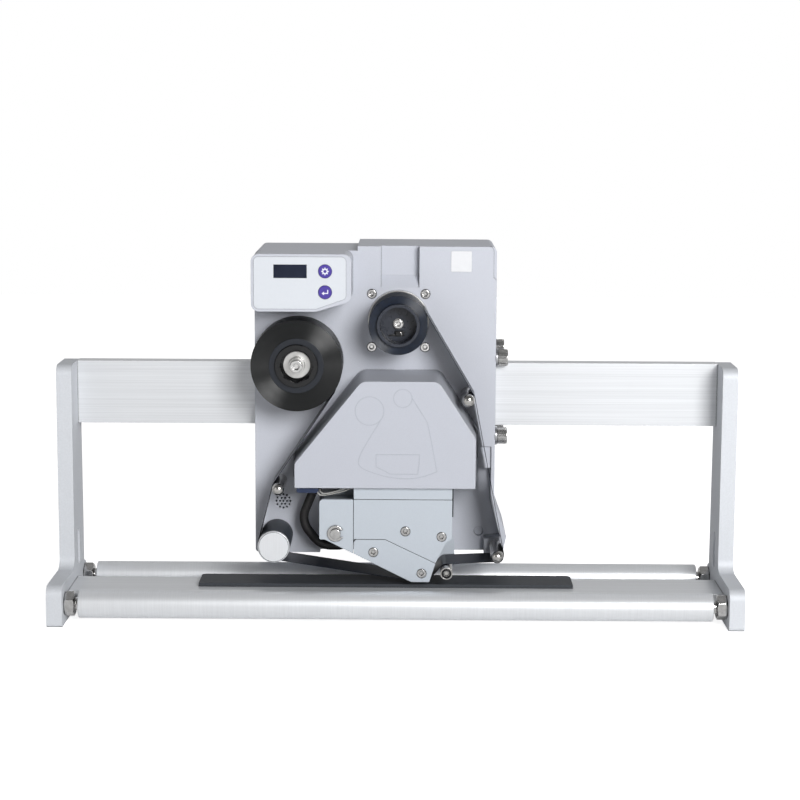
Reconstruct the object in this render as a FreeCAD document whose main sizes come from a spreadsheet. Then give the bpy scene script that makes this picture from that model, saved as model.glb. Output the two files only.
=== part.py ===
import FreeCAD, Part
import math
import os
import re
import Sketcher

# Thermal transfer date coder that slides along the crossbar of a bench frame with two idler
# rollers. Millimetres. +X runs along the crossbar to the right, +Y to the back, +Z up, and the
# origin is on the floor below the centre of the whole machine. Heights are above the floor, and
# positions from front to back are given from the front of the side plates' legs.

SIZES = {
    # side plates: an upright leg on a foot with a long toe
    "inner_width": 510,
    "plate_thickness": 12,
    "frame_height": 194,
    "leg_depth": 45,
    "leg_flare": 4,
    "toe_reach": 65,
    "foot_height": 32,
    "leg_top_radius": 8,
    "toe_radius": 8,
    "sole_radius": 3,
    "instep_radius": 9,
    "lobe_radius": 12,
    "slot_width": 9,
    "slot_length": 29.5,
    "slot_height": 45,
    # crossbar, base plate and the cap screws that hold them between the side plates
    "bar_height": 50,
    "bar_thickness": 15,
    "base_front": 33,
    "base_width": 48,
    "base_thickness": 12,
    "base_top": 21.7,
    "frame_screw_diameter": 6,
    "frame_screw_head": 10,
    "frame_screw_head_height": 6,
    "frame_screw_length": 22,
    "frame_screw_spacing": 30,
    "counterbore_gap": 0.5,
    # rubber platen pad
    "pad_length": 294,
    "pad_width": 32,
    "pad_thickness": 2.8,
    "pad_shift": 8,
    "pad_front": 17.5,
    "pad_radius": 4,
    # idler rollers on their axles
    "roller_diameter": 22,
    "bearing_diameter": 19,
    "bearing_width": 5,
    "axle_diameter": 10,
    "axle_height": 15.2,
    "front_axle_reach": 48.5,
    "rear_axle_reach": 49.5,
    "axle_end_inset": 0.5,
    "nut_width": 17,
    "nut_height": 8,
    "roller_end_gap": 3,
    "roller_chamfer": 0.5,
    "running_gap": 0.05,
    # printer housing
    "housing_left": 112.5,
    "housing_right": 77.9,
    "housing_bottom": 42,
    "housing_top": 287.2,
    "panel_top": 283.7,
    "shoulder_left": 31.5,
    "face_setback": 17,
    "housing_back": 102,
    "back_plate_thickness": 4,
    "back_plate_inset": 3,
    "housing_radius": 5,
    "skirt_reach": 10,
    "skirt_top": 84,
    "skirt_corner": 55.5,
    "skirt_undercut": 3,
    "edge_width": 2.6,
    "edge_depth": 3,
    "edge_end": 263,
    "edge_radius": 3.5,
    "channel_gap": 0.2,
    "recess_left": 61,
    "recess_right": 75,
    "recess_top": 111,
    "recess_depth": 12,
    "recess_foot_inset": 5,
    "recess_foot_height": 12,
    "recess_skirt_wall": 2,
    "sensor_step_width": 12.5,
    "sensor_step_height": 17.5,
    "sensor_step_depth": 1.5,
    "sensor_slit_width": 2,
    "sensor_slit_height": 9.5,
    "sensor_slit_depth": 6,
    "thumb_hole_diameter": 8,
    "thumb_hole_depth": 3,
    "thumb_hole_right": 66,
    "thumb_hole_height": 57.6,
    "loading_notch_left": 13.2,
    "loading_notch_width": 30.2,
    "loading_notch_depth": 7,
    "loading_notch_drop": 23,
    "loading_ramp_drop": 32.4,
    "speaker_left": 90.2,
    "speaker_height": 83.7,
    "speaker_hole": 1.7,
    "speaker_pitch": 2.75,
    "speaker_depth": 5,
    # screws that hold the housing
    "side_screw_diameter": 8,
    "side_screw_head": 13,
    "side_screw_head_height": 8,
    "side_screw_length": 20,
    "side_screw_front": 24,
    "side_screw_back": 92,
    "side_screw_upper": 199,
    "side_screw_lower": 136.5,
    "washer_diameter": 15,
    "washer_thickness": 1.6,
    "small_screw_diameter": 4,
    "small_screw_head": 7,
    "small_screw_head_height": 2.8,
    "small_screw_length": 10,
    "small_head_gap": 0.4,
    "back_screw_inset": 9,
    "clamp_screw_diameter": 8,
    "clamp_screw_spacing": 88,
    "clamp_screw_inset": 2,
    "clamp_gap": 0.1,
    # raised control panel
    "panel_reach": 38,
    "panel_width": 77,
    "panel_height": 44.3,
    "panel_cut_width": 27,
    "panel_cut_height": 8.1,
    "panel_radius": 6,
    "panel_rim": 2.2,
    "overlay_right_rim": 4,
    "overlay_thickness": 0.4,
    "overlay_radius": 3.6,
    "display_width": 25.6,
    "display_height": 10.4,
    "display_inset": 30.2,
    "display_drop": 13.2,
    "display_thickness": 1,
    "button_diameter": 10.4,
    "button_inset": 57,
    "gear_button_drop": 13.1,
    "enter_button_drop": 29.2,
    "button_thickness": 3,
    "button_chamfer": 0.4,
    "button_proud": 0.8,
    "button_gap": 0.2,
    "button_travel": 0.5,
    # ribbon cover, seen from the front as a trapezoid with a cropped right corner
    "cover_reach": 47,
    "cover_left": 78.8,
    "cover_right": 61.1,
    "cover_bottom": 103.3,
    "cover_left_shoulder": 122.3,
    "cover_right_shoulder": 142.4,
    "cover_top": 186.7,
    "cover_top_left": 27,
    "cover_top_right": 32.3,
    "cover_draft": 3.6,
    "cover_wall": 2.5,
    "cover_top_radius": 9,
    "cover_side_radius": 6,
    "latch_left": 1.9,
    "latch_width": 8.7,
    "latch_depth": 0.8,
    # ribbon and its two reels
    "ribbon_front": 18.5,
    "ribbon_width": 33,
    "ribbon_thickness": 0.4,
    "ribbon_gap": 0.3,
    "core_diameter": 33,
    "supply_left": 77.8,
    "supply_drop": 42.4,
    "supply_diameter": 71,
    "hub_reach": 21,
    "hub_wall": 3.2,
    "supply_web_front": 9,
    "supply_web_thickness": 12,
    "supply_cap_diameter": 21,
    "supply_cap_thickness": 3,
    "supply_boss_length": 7,
    "supply_screw_head": 9.6,
    "supply_screw_head_height": 4,
    "supply_screw_diameter": 6,
    "supply_shaft_diameter": 12,
    "take_up_right": 0.8,
    "take_up_height": 228.8,
    "take_up_diameter": 45.7,
    "take_up_disc_diameter": 47.8,
    "take_up_disc_thickness": 1.6,
    "take_up_cup_bore": 28.5,
    "take_up_floor_front": 5,
    "take_up_clip_width": 6,
    "take_up_clip_height": 3.5,
    "take_up_clip_drop": 7.5,
    "take_up_clip_depth": 3,
    "take_up_shaft_diameter": 8,
    "take_up_screw_spacing": 42,
    "reel_gap": 0.5,
    "shaft_depth": 11.5,
    "bore_run_out": 1,
    # rollers that guide the ribbon
    "drive_left": 95,
    "drive_height": 57,
    "drive_diameter": 25,
    "drive_sleeve_wall": 2,
    "drive_cap_length": 2.5,
    "drive_cap_radius": 0.8,
    "drive_shaft_diameter": 8,
    "guide_reach": 30,
    "guide_pin_diameter": 4,
    "guide_pin_reach": 15,
    "guide_nose": 0.4,
    "left_guide_clearance": 13,
    "left_guide_height": 101.3,
    "left_guide_diameter": 9.4,
    "right_guide_clearance": 13.15,
    "right_guide_drop": 15,
    "right_guide_diameter": 10,
    "lower_guide_right": 78.9,
    "lower_guide_height": 48.7,
    "lower_guide_diameter": 10.2,
    # print head: a carriage that traverses on a rail, and the head that pivots on it
    "rail_height": 12,
    "rail_thickness": 5,
    "rail_bottom": 108,
    "rail_left": 72,
    "rail_right": 57,
    "rail_gap": 0.1,
    "carriage_left": 58,
    "carriage_top": 124,
    "carriage_frame_bottom": 58,
    "carriage_frame_front": 9,
    "carriage_shoulder": 96,
    "carriage_slope": 13,
    "face_gap": 0.6,
    "head_front": 26,
    "head_plate_thickness": 4,
    "head_left": 59.8,
    "head_split": 33,
    "head_right": 43.5,
    "head_top": 93.5,
    "head_seam": 0.4,
    "arm_foot": 61.8,
    "arm_chamfer_left": 55.5,
    "lower_plate_left_foot": 50.7,
    "main_plate_chamfer_top": 63,
    "main_plate_chamfer_right": 38.8,
    "main_plate_chamfer_bottom": 59.4,
    "lower_plate_shoulder": 61.8,
    "lower_plate_shoulder_left": 8.5,
    "lower_plate_right": 30.7,
    "lower_plate_right_height": 43.1,
    "tip_left": 12,
    "tip_right": 26,
    "tip_height": 28.3,
    "tip_radius": 1.5,
    "plate_radius": 3,
    "lever_floor": 57,
    "lever_top": 90.2,
    "lever_left": 57,
    "lever_right": 38,
    "lever_back": 8.5,
    "wedge_left": 31,
    "wedge_back": 13,
    "wedge_inset": 1,
    "pivot_left": 47.2,
    "pivot_height": 66.7,
    "pivot_diameter": 8,
    "pivot_nose": 3,
    "clip_diameter": 12.7,
    "clip_groove": 6,
    "clip_thickness": 1,
    "clip_opening": 5.5,
    "clip_gap": 0.1,
    "upper_screw_height": 68.6,
    "upper_screw_right": 7.2,
    "side_screw_height": 64.4,
    "side_screw_right": 35.4,
    "left_screw_height": 51.8,
    "left_screw_left": 17.7,
    "tip_screw_height": 35.1,
    "tip_screw_right": 20,
    "peel_right": 39.4,
    "peel_height": 35.8,
    "peel_diameter": 9.7,
    "peel_axle_diameter": 5,
    "peel_front": 29,
    "peel_screw_head": 7.2,
    "peel_screw_depth": 1.5,
    "peel_socket": 4.3,
    "peel_lug_radius": 7,
    "peel_lug_thickness": 4.5,
    "peel_lug_front": 14.8,
    "peel_arm_flare": 2,
    "peel_arm_overlap": 4,
    "peel_arm_rise": 14,
    "cable_diameter": 7,
    "cable_gap": 0.2,
    "cable_front": 2,
    "cable_bend": 9,
    "cable_sweep": 17,
    "cable_outlet_left": 62.2,
    "cable_rail_gap": 0.8,
    "cable_left": 75.5,
    "cable_turn_height": 71,
    "cable_foot_left": 60,
    "cable_low": 51,
    "cable_inlet_left": 40,
}

# Places that follow from the sizes above, in the row's own frame.
LAYOUT = {
    "half_inner": "inner_width / 2",
    "half_outer": "half_inner + plate_thickness",
    "leg_front": "(toe_reach - housing_back) / 2",
    "bar_front": "leg_front + leg_depth - bar_thickness",
    "bar_bottom": "frame_height - bar_height",
    "bar_middle": "frame_height - bar_height / 2",
    "bar_axis": "leg_depth - bar_thickness / 2",
    "base_axis": "base_width / 2 - base_front",
    "base_middle": "base_top - base_thickness / 2",
    "counterbore_depth": "frame_screw_head_height + counterbore_gap",
    "roller_length": "inner_width - 2 * (nut_height + roller_end_gap)",
    "face": "leg_front + face_setback",
    "back": "leg_front + housing_back",
    "housing_depth": "housing_back - face_setback - back_plate_thickness",
    "panel_front": "face - panel_reach",
    "panel_right": "panel_width - housing_left",
    "panel_bottom": "panel_top - panel_height",
    "supply_height": "panel_bottom - supply_drop",
    "cable_outlet_height": "rail_bottom - cable_rail_gap - cable_gap - cable_diameter / 2",
    "cover_front": "face - cover_reach",
    "ribbon_back": "leg_front - ribbon_front + ribbon_width",
    "roller_back": "ribbon_back + ribbon_gap",
    "guide_front": "leg_front - guide_reach",
    "guide_length": "roller_back - guide_front",
    "reel_back": "face - reel_gap",
    "head_face": "leg_front - head_front",
    "plate_back": "head_face + head_plate_thickness",
    "lever_length": "lever_back + head_front - head_plate_thickness",
    "carriage_back": "face - face_gap",
    "carriage_front": "leg_front + carriage_frame_front",
    "carriage_floor": "head_top + head_seam",
    "carriage_depth": "carriage_back - head_face",
    "cover_left_rise": "cover_top - cover_left_shoulder",
    "cover_right_rise": "cover_top - cover_right_shoulder",
    "cover_left_slope": "atan(cover_left_rise / (cover_left - cover_top_left))",
    "cover_right_slope": "atan(cover_right_rise / (cover_right - cover_top_right))",
    "left_guide_left": "cover_left + left_guide_clearance",
    "right_guide_height": "cover_top - right_guide_drop",
    "right_guide_right": "cover_top_right + right_guide_drop / tan(cover_right_slope)"
                         " + right_guide_clearance",
    "pin_back": "carriage_back - face_gap",
    "pin_length": "pin_back - head_face + pivot_nose",
    "peel_back": "leg_front + peel_lug_front - ribbon_gap",
    "peel_length": "peel_lug_front - ribbon_gap + peel_front",
    "shaft_back": "face + shaft_depth",
    "supply_seat": "shaft_back - leg_front + supply_web_front",
    "supply_nose": "supply_seat + supply_cap_thickness + supply_boss_length",
    "hub_length": "reel_back - leg_front + hub_reach",
    "take_up_floor": "reel_back - take_up_disc_thickness - leg_front + take_up_floor_front",
}

SCREW_SOCKET = 0.55
SOCKET_FLOOR = 0.4
NUT_CORNER = 30

doc = FreeCAD.newDocument("date_coder")
pieces = []


def bound(text):
    """Write the sheet's name before each size or place in an expression."""

    def full_name(match):
        word = match.group(0)
        if word in SIZES:
            return "Sizes." + word
        if word in LAYOUT:
            return "Layout." + word
        return word

    return re.sub(r"[a-z_][a-z_0-9]*", full_name, str(text))


def fill_sheet(name, cells):
    sheet = doc.addObject("Spreadsheet::Sheet", name)
    for row, (alias, content) in enumerate(cells.items(), start=1):
        sheet.set(f"A{row}", alias)
        sheet.set(f"B{row}", content)
        sheet.setAlias(f"B{row}", alias)
    return sheet


sizes = fill_sheet("Sizes", {alias: str(number) for alias, number in SIZES.items()})
fill_sheet("Layout", {alias: "=" + bound(text) for alias, text in LAYOUT.items()})
doc.recompute()


def amount(text):
    """The value that an expression has now."""
    return float(sizes.evalExpression(bound(text)))


def bind(thing, **expressions):
    for property_name, text in expressions.items():
        thing.setExpression(property_name.replace("__", "."), bound(text))


# Turns that lay a piece made along its own Z axis in another direction.
UP = FreeCAD.Rotation()
TO_RIGHT = FreeCAD.Rotation(FreeCAD.Vector(0, 0, 1), FreeCAD.Vector(1, 0, 0))
TO_LEFT = FreeCAD.Rotation(FreeCAD.Vector(0, 0, 1), FreeCAD.Vector(-1, 0, 0))
TO_FRONT = FreeCAD.Rotation(FreeCAD.Vector(0, 0, 1), FreeCAD.Vector(0, -1, 0))
TO_BACK = FreeCAD.Rotation(FreeCAD.Vector(0, 0, 1), FreeCAD.Vector(0, 1, 0))


def place(thing, x="0", y="0", z="0", turn=UP):
    thing.Placement = FreeCAD.Placement(FreeCAD.Vector(), turn)
    bind(thing, Placement__Base__x=x, Placement__Base__y=y, Placement__Base__z=z)
    return thing


def piece(thing, label):
    """Count a finished object as one of the machine's sub-parts."""
    thing.Label = label
    pieces.append(thing)
    return thing


# Sketches and the features made from them.


def sketch_in(body, plane, offset="0"):
    sketch = body.newObject("Sketcher::SketchObject", "Sketch")
    planes = [feature for feature in body.Origin.OriginFeatures if feature.Role == plane]
    sketch.AttachmentSupport = [(planes[0], "")]
    sketch.MapMode = "FlatFace"
    bind(sketch, AttachmentOffset__Base__z=offset)
    return sketch


def hold(sketch, kind, geometry, point, text):
    """Dimension one point of a sketch from the sketch's origin."""
    constraint = Sketcher.Constraint(kind, -1, 1, geometry, point, amount(text))
    index = sketch.addConstraint(constraint)
    bind(sketch, **{f"Constraints[{index}]": text})


def outline(body, plane, corners, offset="0"):
    """A closed outline of straight lines through corners given as pairs of expressions."""
    sketch = sketch_in(body, plane, offset)
    points = [FreeCAD.Vector(amount(u), amount(v), 0) for u, v in corners]
    count = len(points)
    for index in range(count):
        sketch.addGeometry(Part.LineSegment(points[index], points[(index + 1) % count]))
    for index in range(count):
        sketch.addConstraint(Sketcher.Constraint("Coincident", index, 2, (index + 1) % count, 1))
    for index, (u, v) in enumerate(corners):
        hold(sketch, "DistanceX", index, 1, u)
        hold(sketch, "DistanceY", index, 1, v)
    return sketch


def circles(body, plane, radius, centres, offset="0"):
    sketch = sketch_in(body, plane, offset)
    up = FreeCAD.Vector(0, 0, 1)
    for index, (u, v) in enumerate(centres):
        centre = FreeCAD.Vector(amount(u), amount(v), 0)
        sketch.addGeometry(Part.Circle(centre, up, amount(radius)))
        hold(sketch, "DistanceX", index, 3, u)
        hold(sketch, "DistanceY", index, 3, v)
        row = sketch.addConstraint(Sketcher.Constraint("Radius", index, amount(radius)))
        bind(sketch, **{f"Constraints[{row}]": radius})
    return sketch


def feature(body, kind, sketch, length, reverse=False, both_ways=False):
    made = body.newObject("PartDesign::" + kind, kind)
    made.Profile = sketch
    made.Reversed = reverse
    if both_ways:
        made.Midplane = True
    bind(made, Length=length)
    doc.recompute()
    return made


def pad(body, sketch, length, reverse=False):
    return feature(body, "Pad", sketch, length, reverse)


def pocket(body, sketch, length, reverse=False, both_ways=False):
    before = body.Shape.Volume
    cut = feature(body, "Pocket", sketch, length, reverse, both_ways)
    if body.Shape.Volume >= before:
        raise RuntimeError(body.Label + " has a pocket that cuts nothing")
    return cut


def round_corners(body, plane, rounds):
    """Fillet the edges that stand on the given corners of the body's outline."""
    axes = {"XZ_Plane": (0, 2), "YZ_Plane": (1, 2), "XY_Plane": (0, 1)}[plane]
    by_radius = {}
    for u, v, radius in rounds:
        by_radius.setdefault(radius, []).append((amount(u), amount(v)))
    for radius, corners in by_radius.items():
        base = body.Tip
        names = []
        for index, edge in enumerate(base.Shape.Edges, start=1):
            ends = [vertex.Point for vertex in edge.Vertexes]
            if len(ends) < 2 or edge.Length > ends[0].distanceToPoint(ends[1]) + 0.001:
                continue
            depth_axis = 3 - axes[0] - axes[1]
            if abs(ends[0][depth_axis] - ends[1][depth_axis]) < 0.1:
                continue
            on_corner = [
                min(math.hypot(end[axes[0]] - u, end[axes[1]] - v) for end in ends) < 0.01
                for u, v in corners
            ]
            if any(on_corner):
                names.append(f"Edge{index}")
        fillet = body.newObject("PartDesign::Fillet", "Fillet")
        fillet.Base = (base, names)
        bind(fillet, Radius=radius)
        doc.recompute()


def new_body(label, x="0", y="0", z="0", turn=UP):
    return piece(place(doc.addObject("PartDesign::Body", label), x, y, z, turn), label)


def slab(label, corners, front, thickness, rounds=()):
    """A plate in the X-Z plane: its outline, where its front face lies and its thickness."""
    body = new_body(label, y=front)
    pad(body, outline(body, "XZ_Plane", corners), thickness, reverse=True)
    round_corners(body, "XZ_Plane", rounds)
    return body


def turned(label, profile, x="0", y="0", z="0", turn=UP):
    """A turned piece: its profile as (radius, height) corners round its own Z axis."""
    body = new_body(label, x, y, z, turn)
    sketch = outline(body, "XZ_Plane", profile)
    revolution = body.newObject("PartDesign::Revolution", "Revolution")
    revolution.Profile = sketch
    revolution.ReferenceAxis = (sketch, ["V_Axis"])
    doc.recompute()
    return body


def stepped(steps, bore="0"):
    """The profile of a turned piece from (radius, length) steps, round a plain bore."""
    corners = [(bore, "0")]
    end = "0"
    for radius, length in steps:
        corners.append((radius, end))
        end = f"{end} + {length}"
        corners.append((radius, end))
    corners.append((bore, end))
    return corners


def round_end(body, radius):
    """Fillet the outer rim at the far end of a turned piece."""
    base = body.Tip
    top = base.Shape.BoundBox.ZMax
    rims = [
        (edge.Length, f"Edge{index}") for index, edge in enumerate(base.Shape.Edges, start=1)
        if edge.BoundBox.ZMin > top - 0.001
    ]
    fillet = body.newObject("PartDesign::Fillet", "Fillet")
    fillet.Base = (base, [max(rims)[1]])
    bind(fillet, Radius=radius)
    doc.recompute()


# Screws, made with solids because many of them share a node.


def cap_screw(diameter, head, head_height, length, x, y, z, turn):
    """A socket cap screw, its head's seat at the given place and its head along the turned Z."""
    shank = place(doc.addObject("Part::Cylinder", "Shank"), z=f"-({length})")
    bind(shank, Radius=f"{diameter} / 2", Height=length)
    top = doc.addObject("Part::Cylinder", "Head")
    bind(top, Radius=f"{head} / 2", Height=head_height)
    socket = place(doc.addObject("Part::Prism", "Socket"), z=f"{head_height} * {SOCKET_FLOOR}")
    socket.Polygon = 6
    bind(socket, Circumradius=f"{head} / 2 * {SCREW_SOCKET}", Height=head_height)
    whole = doc.addObject("Part::Fuse", "Blank")
    whole.Base = shank
    whole.Tool = top
    screw = doc.addObject("Part::Cut", "Screw")
    screw.Base = whole
    screw.Tool = socket
    return place(screw, x, y, z, turn)


def group(label, members):
    """Several like pieces that share one node and are no sub-parts by themselves."""
    for member in members:
        if member in pieces:
            pieces.remove(member)
    compound = doc.addObject("Part::Compound", label)
    compound.Links = members
    return piece(compound, label)


def drill(label, blank, tools):
    """Cut the holes from a blank."""
    holes = doc.addObject("Part::MultiFuse", "Holes")
    holes.Shapes = tools
    cut = doc.addObject("Part::Cut", label)
    cut.Base = blank
    cut.Tool = holes
    return piece(cut, label)


def rod(diameter, length, x, y, z, turn):
    cylinder = doc.addObject("Part::Cylinder", "Rod")
    bind(cylinder, Radius=f"({diameter}) / 2", Height=length)
    return place(cylinder, x, y, z, turn)


# The four cap screws at each end of the frame: two in the crossbar and two in the base plate.
FRAME_SCREWS = {
    "bar_upper": ("bar_axis", "bar_middle + frame_screw_spacing / 2"),
    "bar_lower": ("bar_axis", "bar_middle - frame_screw_spacing / 2"),
    "base_back": ("base_axis + frame_screw_spacing / 2", "base_middle"),
    "base_front": ("base_axis - frame_screw_spacing / 2", "base_middle"),
}


def side_plate(label, x, cut_towards_right):
    """A side plate, made from its outer face inwards."""
    body = new_body(label, x=x, y="leg_front")
    lobe_top = "axle_height + lobe_radius"
    lobe_bottom = "axle_height - lobe_radius"
    corners = [
        ("-toe_reach", "0"),
        ("-toe_reach", "foot_height"),
        ("0", "foot_height"),
        ("0", "frame_height"),
        ("leg_depth", "frame_height"),
        ("leg_depth + leg_flare", lobe_top),
        ("rear_axle_reach", lobe_top),
        ("rear_axle_reach", lobe_bottom),
        ("leg_depth - leg_flare", "0"),
    ]
    inwards = cut_towards_right
    pad(body, outline(body, "YZ_Plane", corners), "plate_thickness", reverse=not inwards)
    lobe = circles(body, "YZ_Plane", "lobe_radius", [("rear_axle_reach", "axle_height")])
    pad(body, lobe, "plate_thickness", reverse=not inwards)
    round_corners(body, "YZ_Plane", [
        ("-toe_reach", "0", "sole_radius"),
        ("-toe_reach", "foot_height", "toe_radius"),
        ("0", "foot_height", "instep_radius"),
        ("0", "frame_height", "leg_top_radius"),
        ("leg_depth", "frame_height", "sole_radius"),
    ])
    axles = [("-front_axle_reach", "axle_height"), ("rear_axle_reach", "axle_height")]
    bore = "axle_diameter / 2 + running_gap"
    pocket(body, circles(body, "YZ_Plane", bore, axles), "plate_thickness", reverse=inwards)
    seats = list(FRAME_SCREWS.values())
    holes = circles(body, "YZ_Plane", "frame_screw_diameter / 2", seats)
    pocket(body, holes, "plate_thickness", reverse=inwards)
    heads = circles(body, "YZ_Plane", "frame_screw_head / 2 + counterbore_gap", seats)
    pocket(body, heads, "counterbore_depth", reverse=inwards)
    slot_half = "(slot_length - slot_width) / 2"
    slot = outline(body, "YZ_Plane", [
        ("(leg_depth - slot_width) / 2", f"slot_height - {slot_half}"),
        ("(leg_depth + slot_width) / 2", f"slot_height - {slot_half}"),
        ("(leg_depth + slot_width) / 2", f"slot_height + {slot_half}"),
        ("(leg_depth - slot_width) / 2", f"slot_height + {slot_half}"),
    ])
    pocket(body, slot, "plate_thickness", reverse=inwards)
    for end in ("-", "+"):
        centre = [("leg_depth / 2", f"slot_height {end} {slot_half}")]
        pocket(body, circles(body, "YZ_Plane", "slot_width / 2", centre), "plate_thickness",
               reverse=inwards)


side_plate("left_side_plate", "-half_outer", cut_towards_right=True)
side_plate("right_side_plate", "half_outer", cut_towards_right=False)


def frame_screw_holes(names):
    """The tapped holes at both ends of a member that the frame screws hold."""
    grip = "frame_screw_length - plate_thickness + counterbore_depth"
    holes = []
    for y, z in (FRAME_SCREWS[name] for name in names):
        for x, turn in (("-half_inner", TO_RIGHT), ("half_inner", TO_LEFT)):
            hole = rod("frame_screw_diameter", grip, x, f"leg_front + {y}", z, turn)
            holes.append(hole)
    return holes


bar = place(doc.addObject("Part::Box", "Bar"), "-half_inner", "bar_front", "bar_bottom")
bind(bar, Length="inner_width", Width="bar_thickness", Height="bar_height")
drill("crossbar", bar, frame_screw_holes(["bar_upper", "bar_lower"]))

base = place(
    doc.addObject("Part::Box", "Base"),
    "-half_inner", "leg_front - base_front", "base_top - base_thickness",
)
bind(base, Length="inner_width", Width="base_width", Height="base_thickness")
drill("base_plate", base, frame_screw_holes(["base_front", "base_back"]))

group("frame_screws", [
    cap_screw("frame_screw_diameter", "frame_screw_head", "frame_screw_head_height",
              "frame_screw_length", f"{side}(half_outer - counterbore_depth)",
              f"leg_front + {y}", z, turn)
    for y, z in FRAME_SCREWS.values()
    for side, turn in (("-", TO_LEFT), ("", TO_RIGHT))
])

pad_body = new_body("platen_pad", "-pad_shift", "leg_front - pad_front", "base_top")
pad_corners = [
    ("-pad_length / 2", "0"),
    ("pad_length / 2", "0"),
    ("pad_length / 2", "pad_width"),
    ("-pad_length / 2", "pad_width"),
]
pad(pad_body, outline(pad_body, "XY_Plane", pad_corners), "pad_thickness")
round_corners(pad_body, "XY_Plane", [(u, v, "pad_radius") for u, v in pad_corners[2:]])

# Idler rollers: a tube on two ball bearings, on an axle that two nuts hold between the plates.
for row, reach in (("front", "-front_axle_reach"), ("rear", "rear_axle_reach")):
    axle_y = f"leg_front + {reach}"
    axle_length = "2 * (half_outer - axle_end_inset)"
    axle = rod("axle_diameter", axle_length, "axle_end_inset - half_outer", axle_y,
               "axle_height", TO_RIGHT)
    piece(axle, f"{row}_axle")
    turned(f"{row}_roller", [
        ("bearing_diameter / 2", "0"),
        ("roller_diameter / 2 - roller_chamfer", "0"),
        ("roller_diameter / 2", "roller_chamfer"),
        ("roller_diameter / 2", "roller_length - roller_chamfer"),
        ("roller_diameter / 2 - roller_chamfer", "roller_length"),
        ("bearing_diameter / 2", "roller_length"),
    ], x="-roller_length / 2", y=axle_y, z="axle_height", turn=TO_RIGHT)
    group(f"{row}_bearings", [
        turned(f"{row}_bearing_{side}", [
            ("axle_diameter / 2 + running_gap", "0"),
            ("bearing_diameter / 2", "0"),
            ("bearing_diameter / 2", "bearing_width"),
            ("axle_diameter / 2 + running_gap", "bearing_width"),
        ], x=bearing_x, y=axle_y, z="axle_height", turn=TO_RIGHT)
        for side, bearing_x in (("left", "-roller_length / 2"),
                                ("right", "roller_length / 2 - bearing_width"))
    ])
    nuts = []
    for nut_x in ("-half_inner", "half_inner - nut_height"):
        hexagon = doc.addObject("Part::Prism", "Hexagon")
        hexagon.Polygon = 6
        bind(hexagon, Circumradius="nut_width / 2 / cos(30)", Height="nut_height")
        thread = doc.addObject("Part::Cylinder", "Thread")
        bind(thread, Radius="axle_diameter / 2 + running_gap", Height="nut_height")
        nut = doc.addObject("Part::Cut", "Nut")
        nut.Base = hexagon
        nut.Tool = thread
        corner_forward = TO_RIGHT * FreeCAD.Rotation(FreeCAD.Vector(0, 0, 1), NUT_CORNER)
        nuts.append(place(nut, nut_x, axle_y, "axle_height", corner_forward))
    group(f"{row}_axle_nuts", nuts)

# Printer housing: outline with a skirt at the lower right, lower recess for the print head,
# channel for the crossbar, loading notch at the top, speaker holes and shaft bores.
housing = new_body("housing", y="face")
housing_corners = [
    ("-housing_left", "housing_bottom"),
    ("-housing_left", "panel_top"),
    ("-shoulder_left", "panel_top"),
    ("-shoulder_left", "housing_top"),
    ("housing_right", "housing_top"),
    ("housing_right", "skirt_top"),
    ("housing_right + skirt_reach", "skirt_corner"),
    ("housing_right + skirt_reach - skirt_undercut", "housing_bottom"),
]
pad(housing, outline(housing, "XZ_Plane", housing_corners), "housing_depth", reverse=True)
round_corners(housing, "XZ_Plane", [
    ("-housing_left", "panel_top", "housing_radius"),
    ("-housing_left", "housing_bottom", "sole_radius"),
    ("housing_right", "housing_top", "housing_radius"),
    ("housing_right + skirt_reach", "skirt_corner", "sole_radius"),
])
recess = outline(housing, "XZ_Plane", [
    ("-recess_left", "housing_bottom - 1"),
    ("-recess_left", "recess_top"),
    ("recess_right", "recess_top"),
    ("recess_right", "skirt_top"),
    ("recess_right + skirt_reach - recess_skirt_wall", "skirt_corner"),
    ("recess_right - recess_foot_inset", "housing_bottom + recess_foot_height"),
    ("recess_right - recess_foot_inset", "housing_bottom - 1"),
])
pocket(housing, recess, "recess_depth")
sensor_step = outline(housing, "XZ_Plane", [
    ("recess_right - sensor_step_width", "recess_top - 1"),
    ("recess_right", "recess_top - 1"),
    ("recess_right", "recess_top + sensor_step_height"),
    ("recess_right - sensor_step_width", "recess_top + sensor_step_height"),
])
pocket(housing, sensor_step, "sensor_step_depth")
sensor_slit = outline(housing, "XZ_Plane", [
    ("recess_right - sensor_step_width", "recess_top + sensor_step_height"),
    ("recess_right - sensor_step_width", "recess_top + sensor_step_height - sensor_slit_height"),
    ("recess_right - sensor_step_width + sensor_slit_width",
     "recess_top + sensor_step_height - sensor_slit_height"),
    ("recess_right - sensor_step_width + sensor_slit_width", "recess_top + sensor_step_height"),
])
pocket(housing, sensor_slit, "sensor_slit_depth")
edge_step = outline(housing, "XZ_Plane", [
    ("housing_right - edge_width - edge_radius", "housing_top + 1"),
    ("housing_right + 1", "housing_top + 1"),
    ("housing_right + 1", "edge_end - edge_width - 1"),
    ("housing_right - edge_width", "edge_end"),
    *[(f"housing_right - edge_width - edge_radius * (1 - cos({angle}))",
       f"housing_top - edge_radius * (1 - sin({angle}))") for angle in (0, 30, 60, 90)],
])
pocket(housing, edge_step, "edge_depth")
cable_outlet = circles(housing, "XZ_Plane", "cable_diameter / 2 + cable_gap",
                       [("-cable_outlet_left", "cable_outlet_height")])
pocket(housing, cable_outlet, "recess_depth")
thumb_hole = circles(housing, "XZ_Plane", "thumb_hole_diameter / 2",
                     [("thumb_hole_right", "thumb_hole_height")])
pocket(housing, thumb_hole, "recess_depth + thumb_hole_depth")
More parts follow.
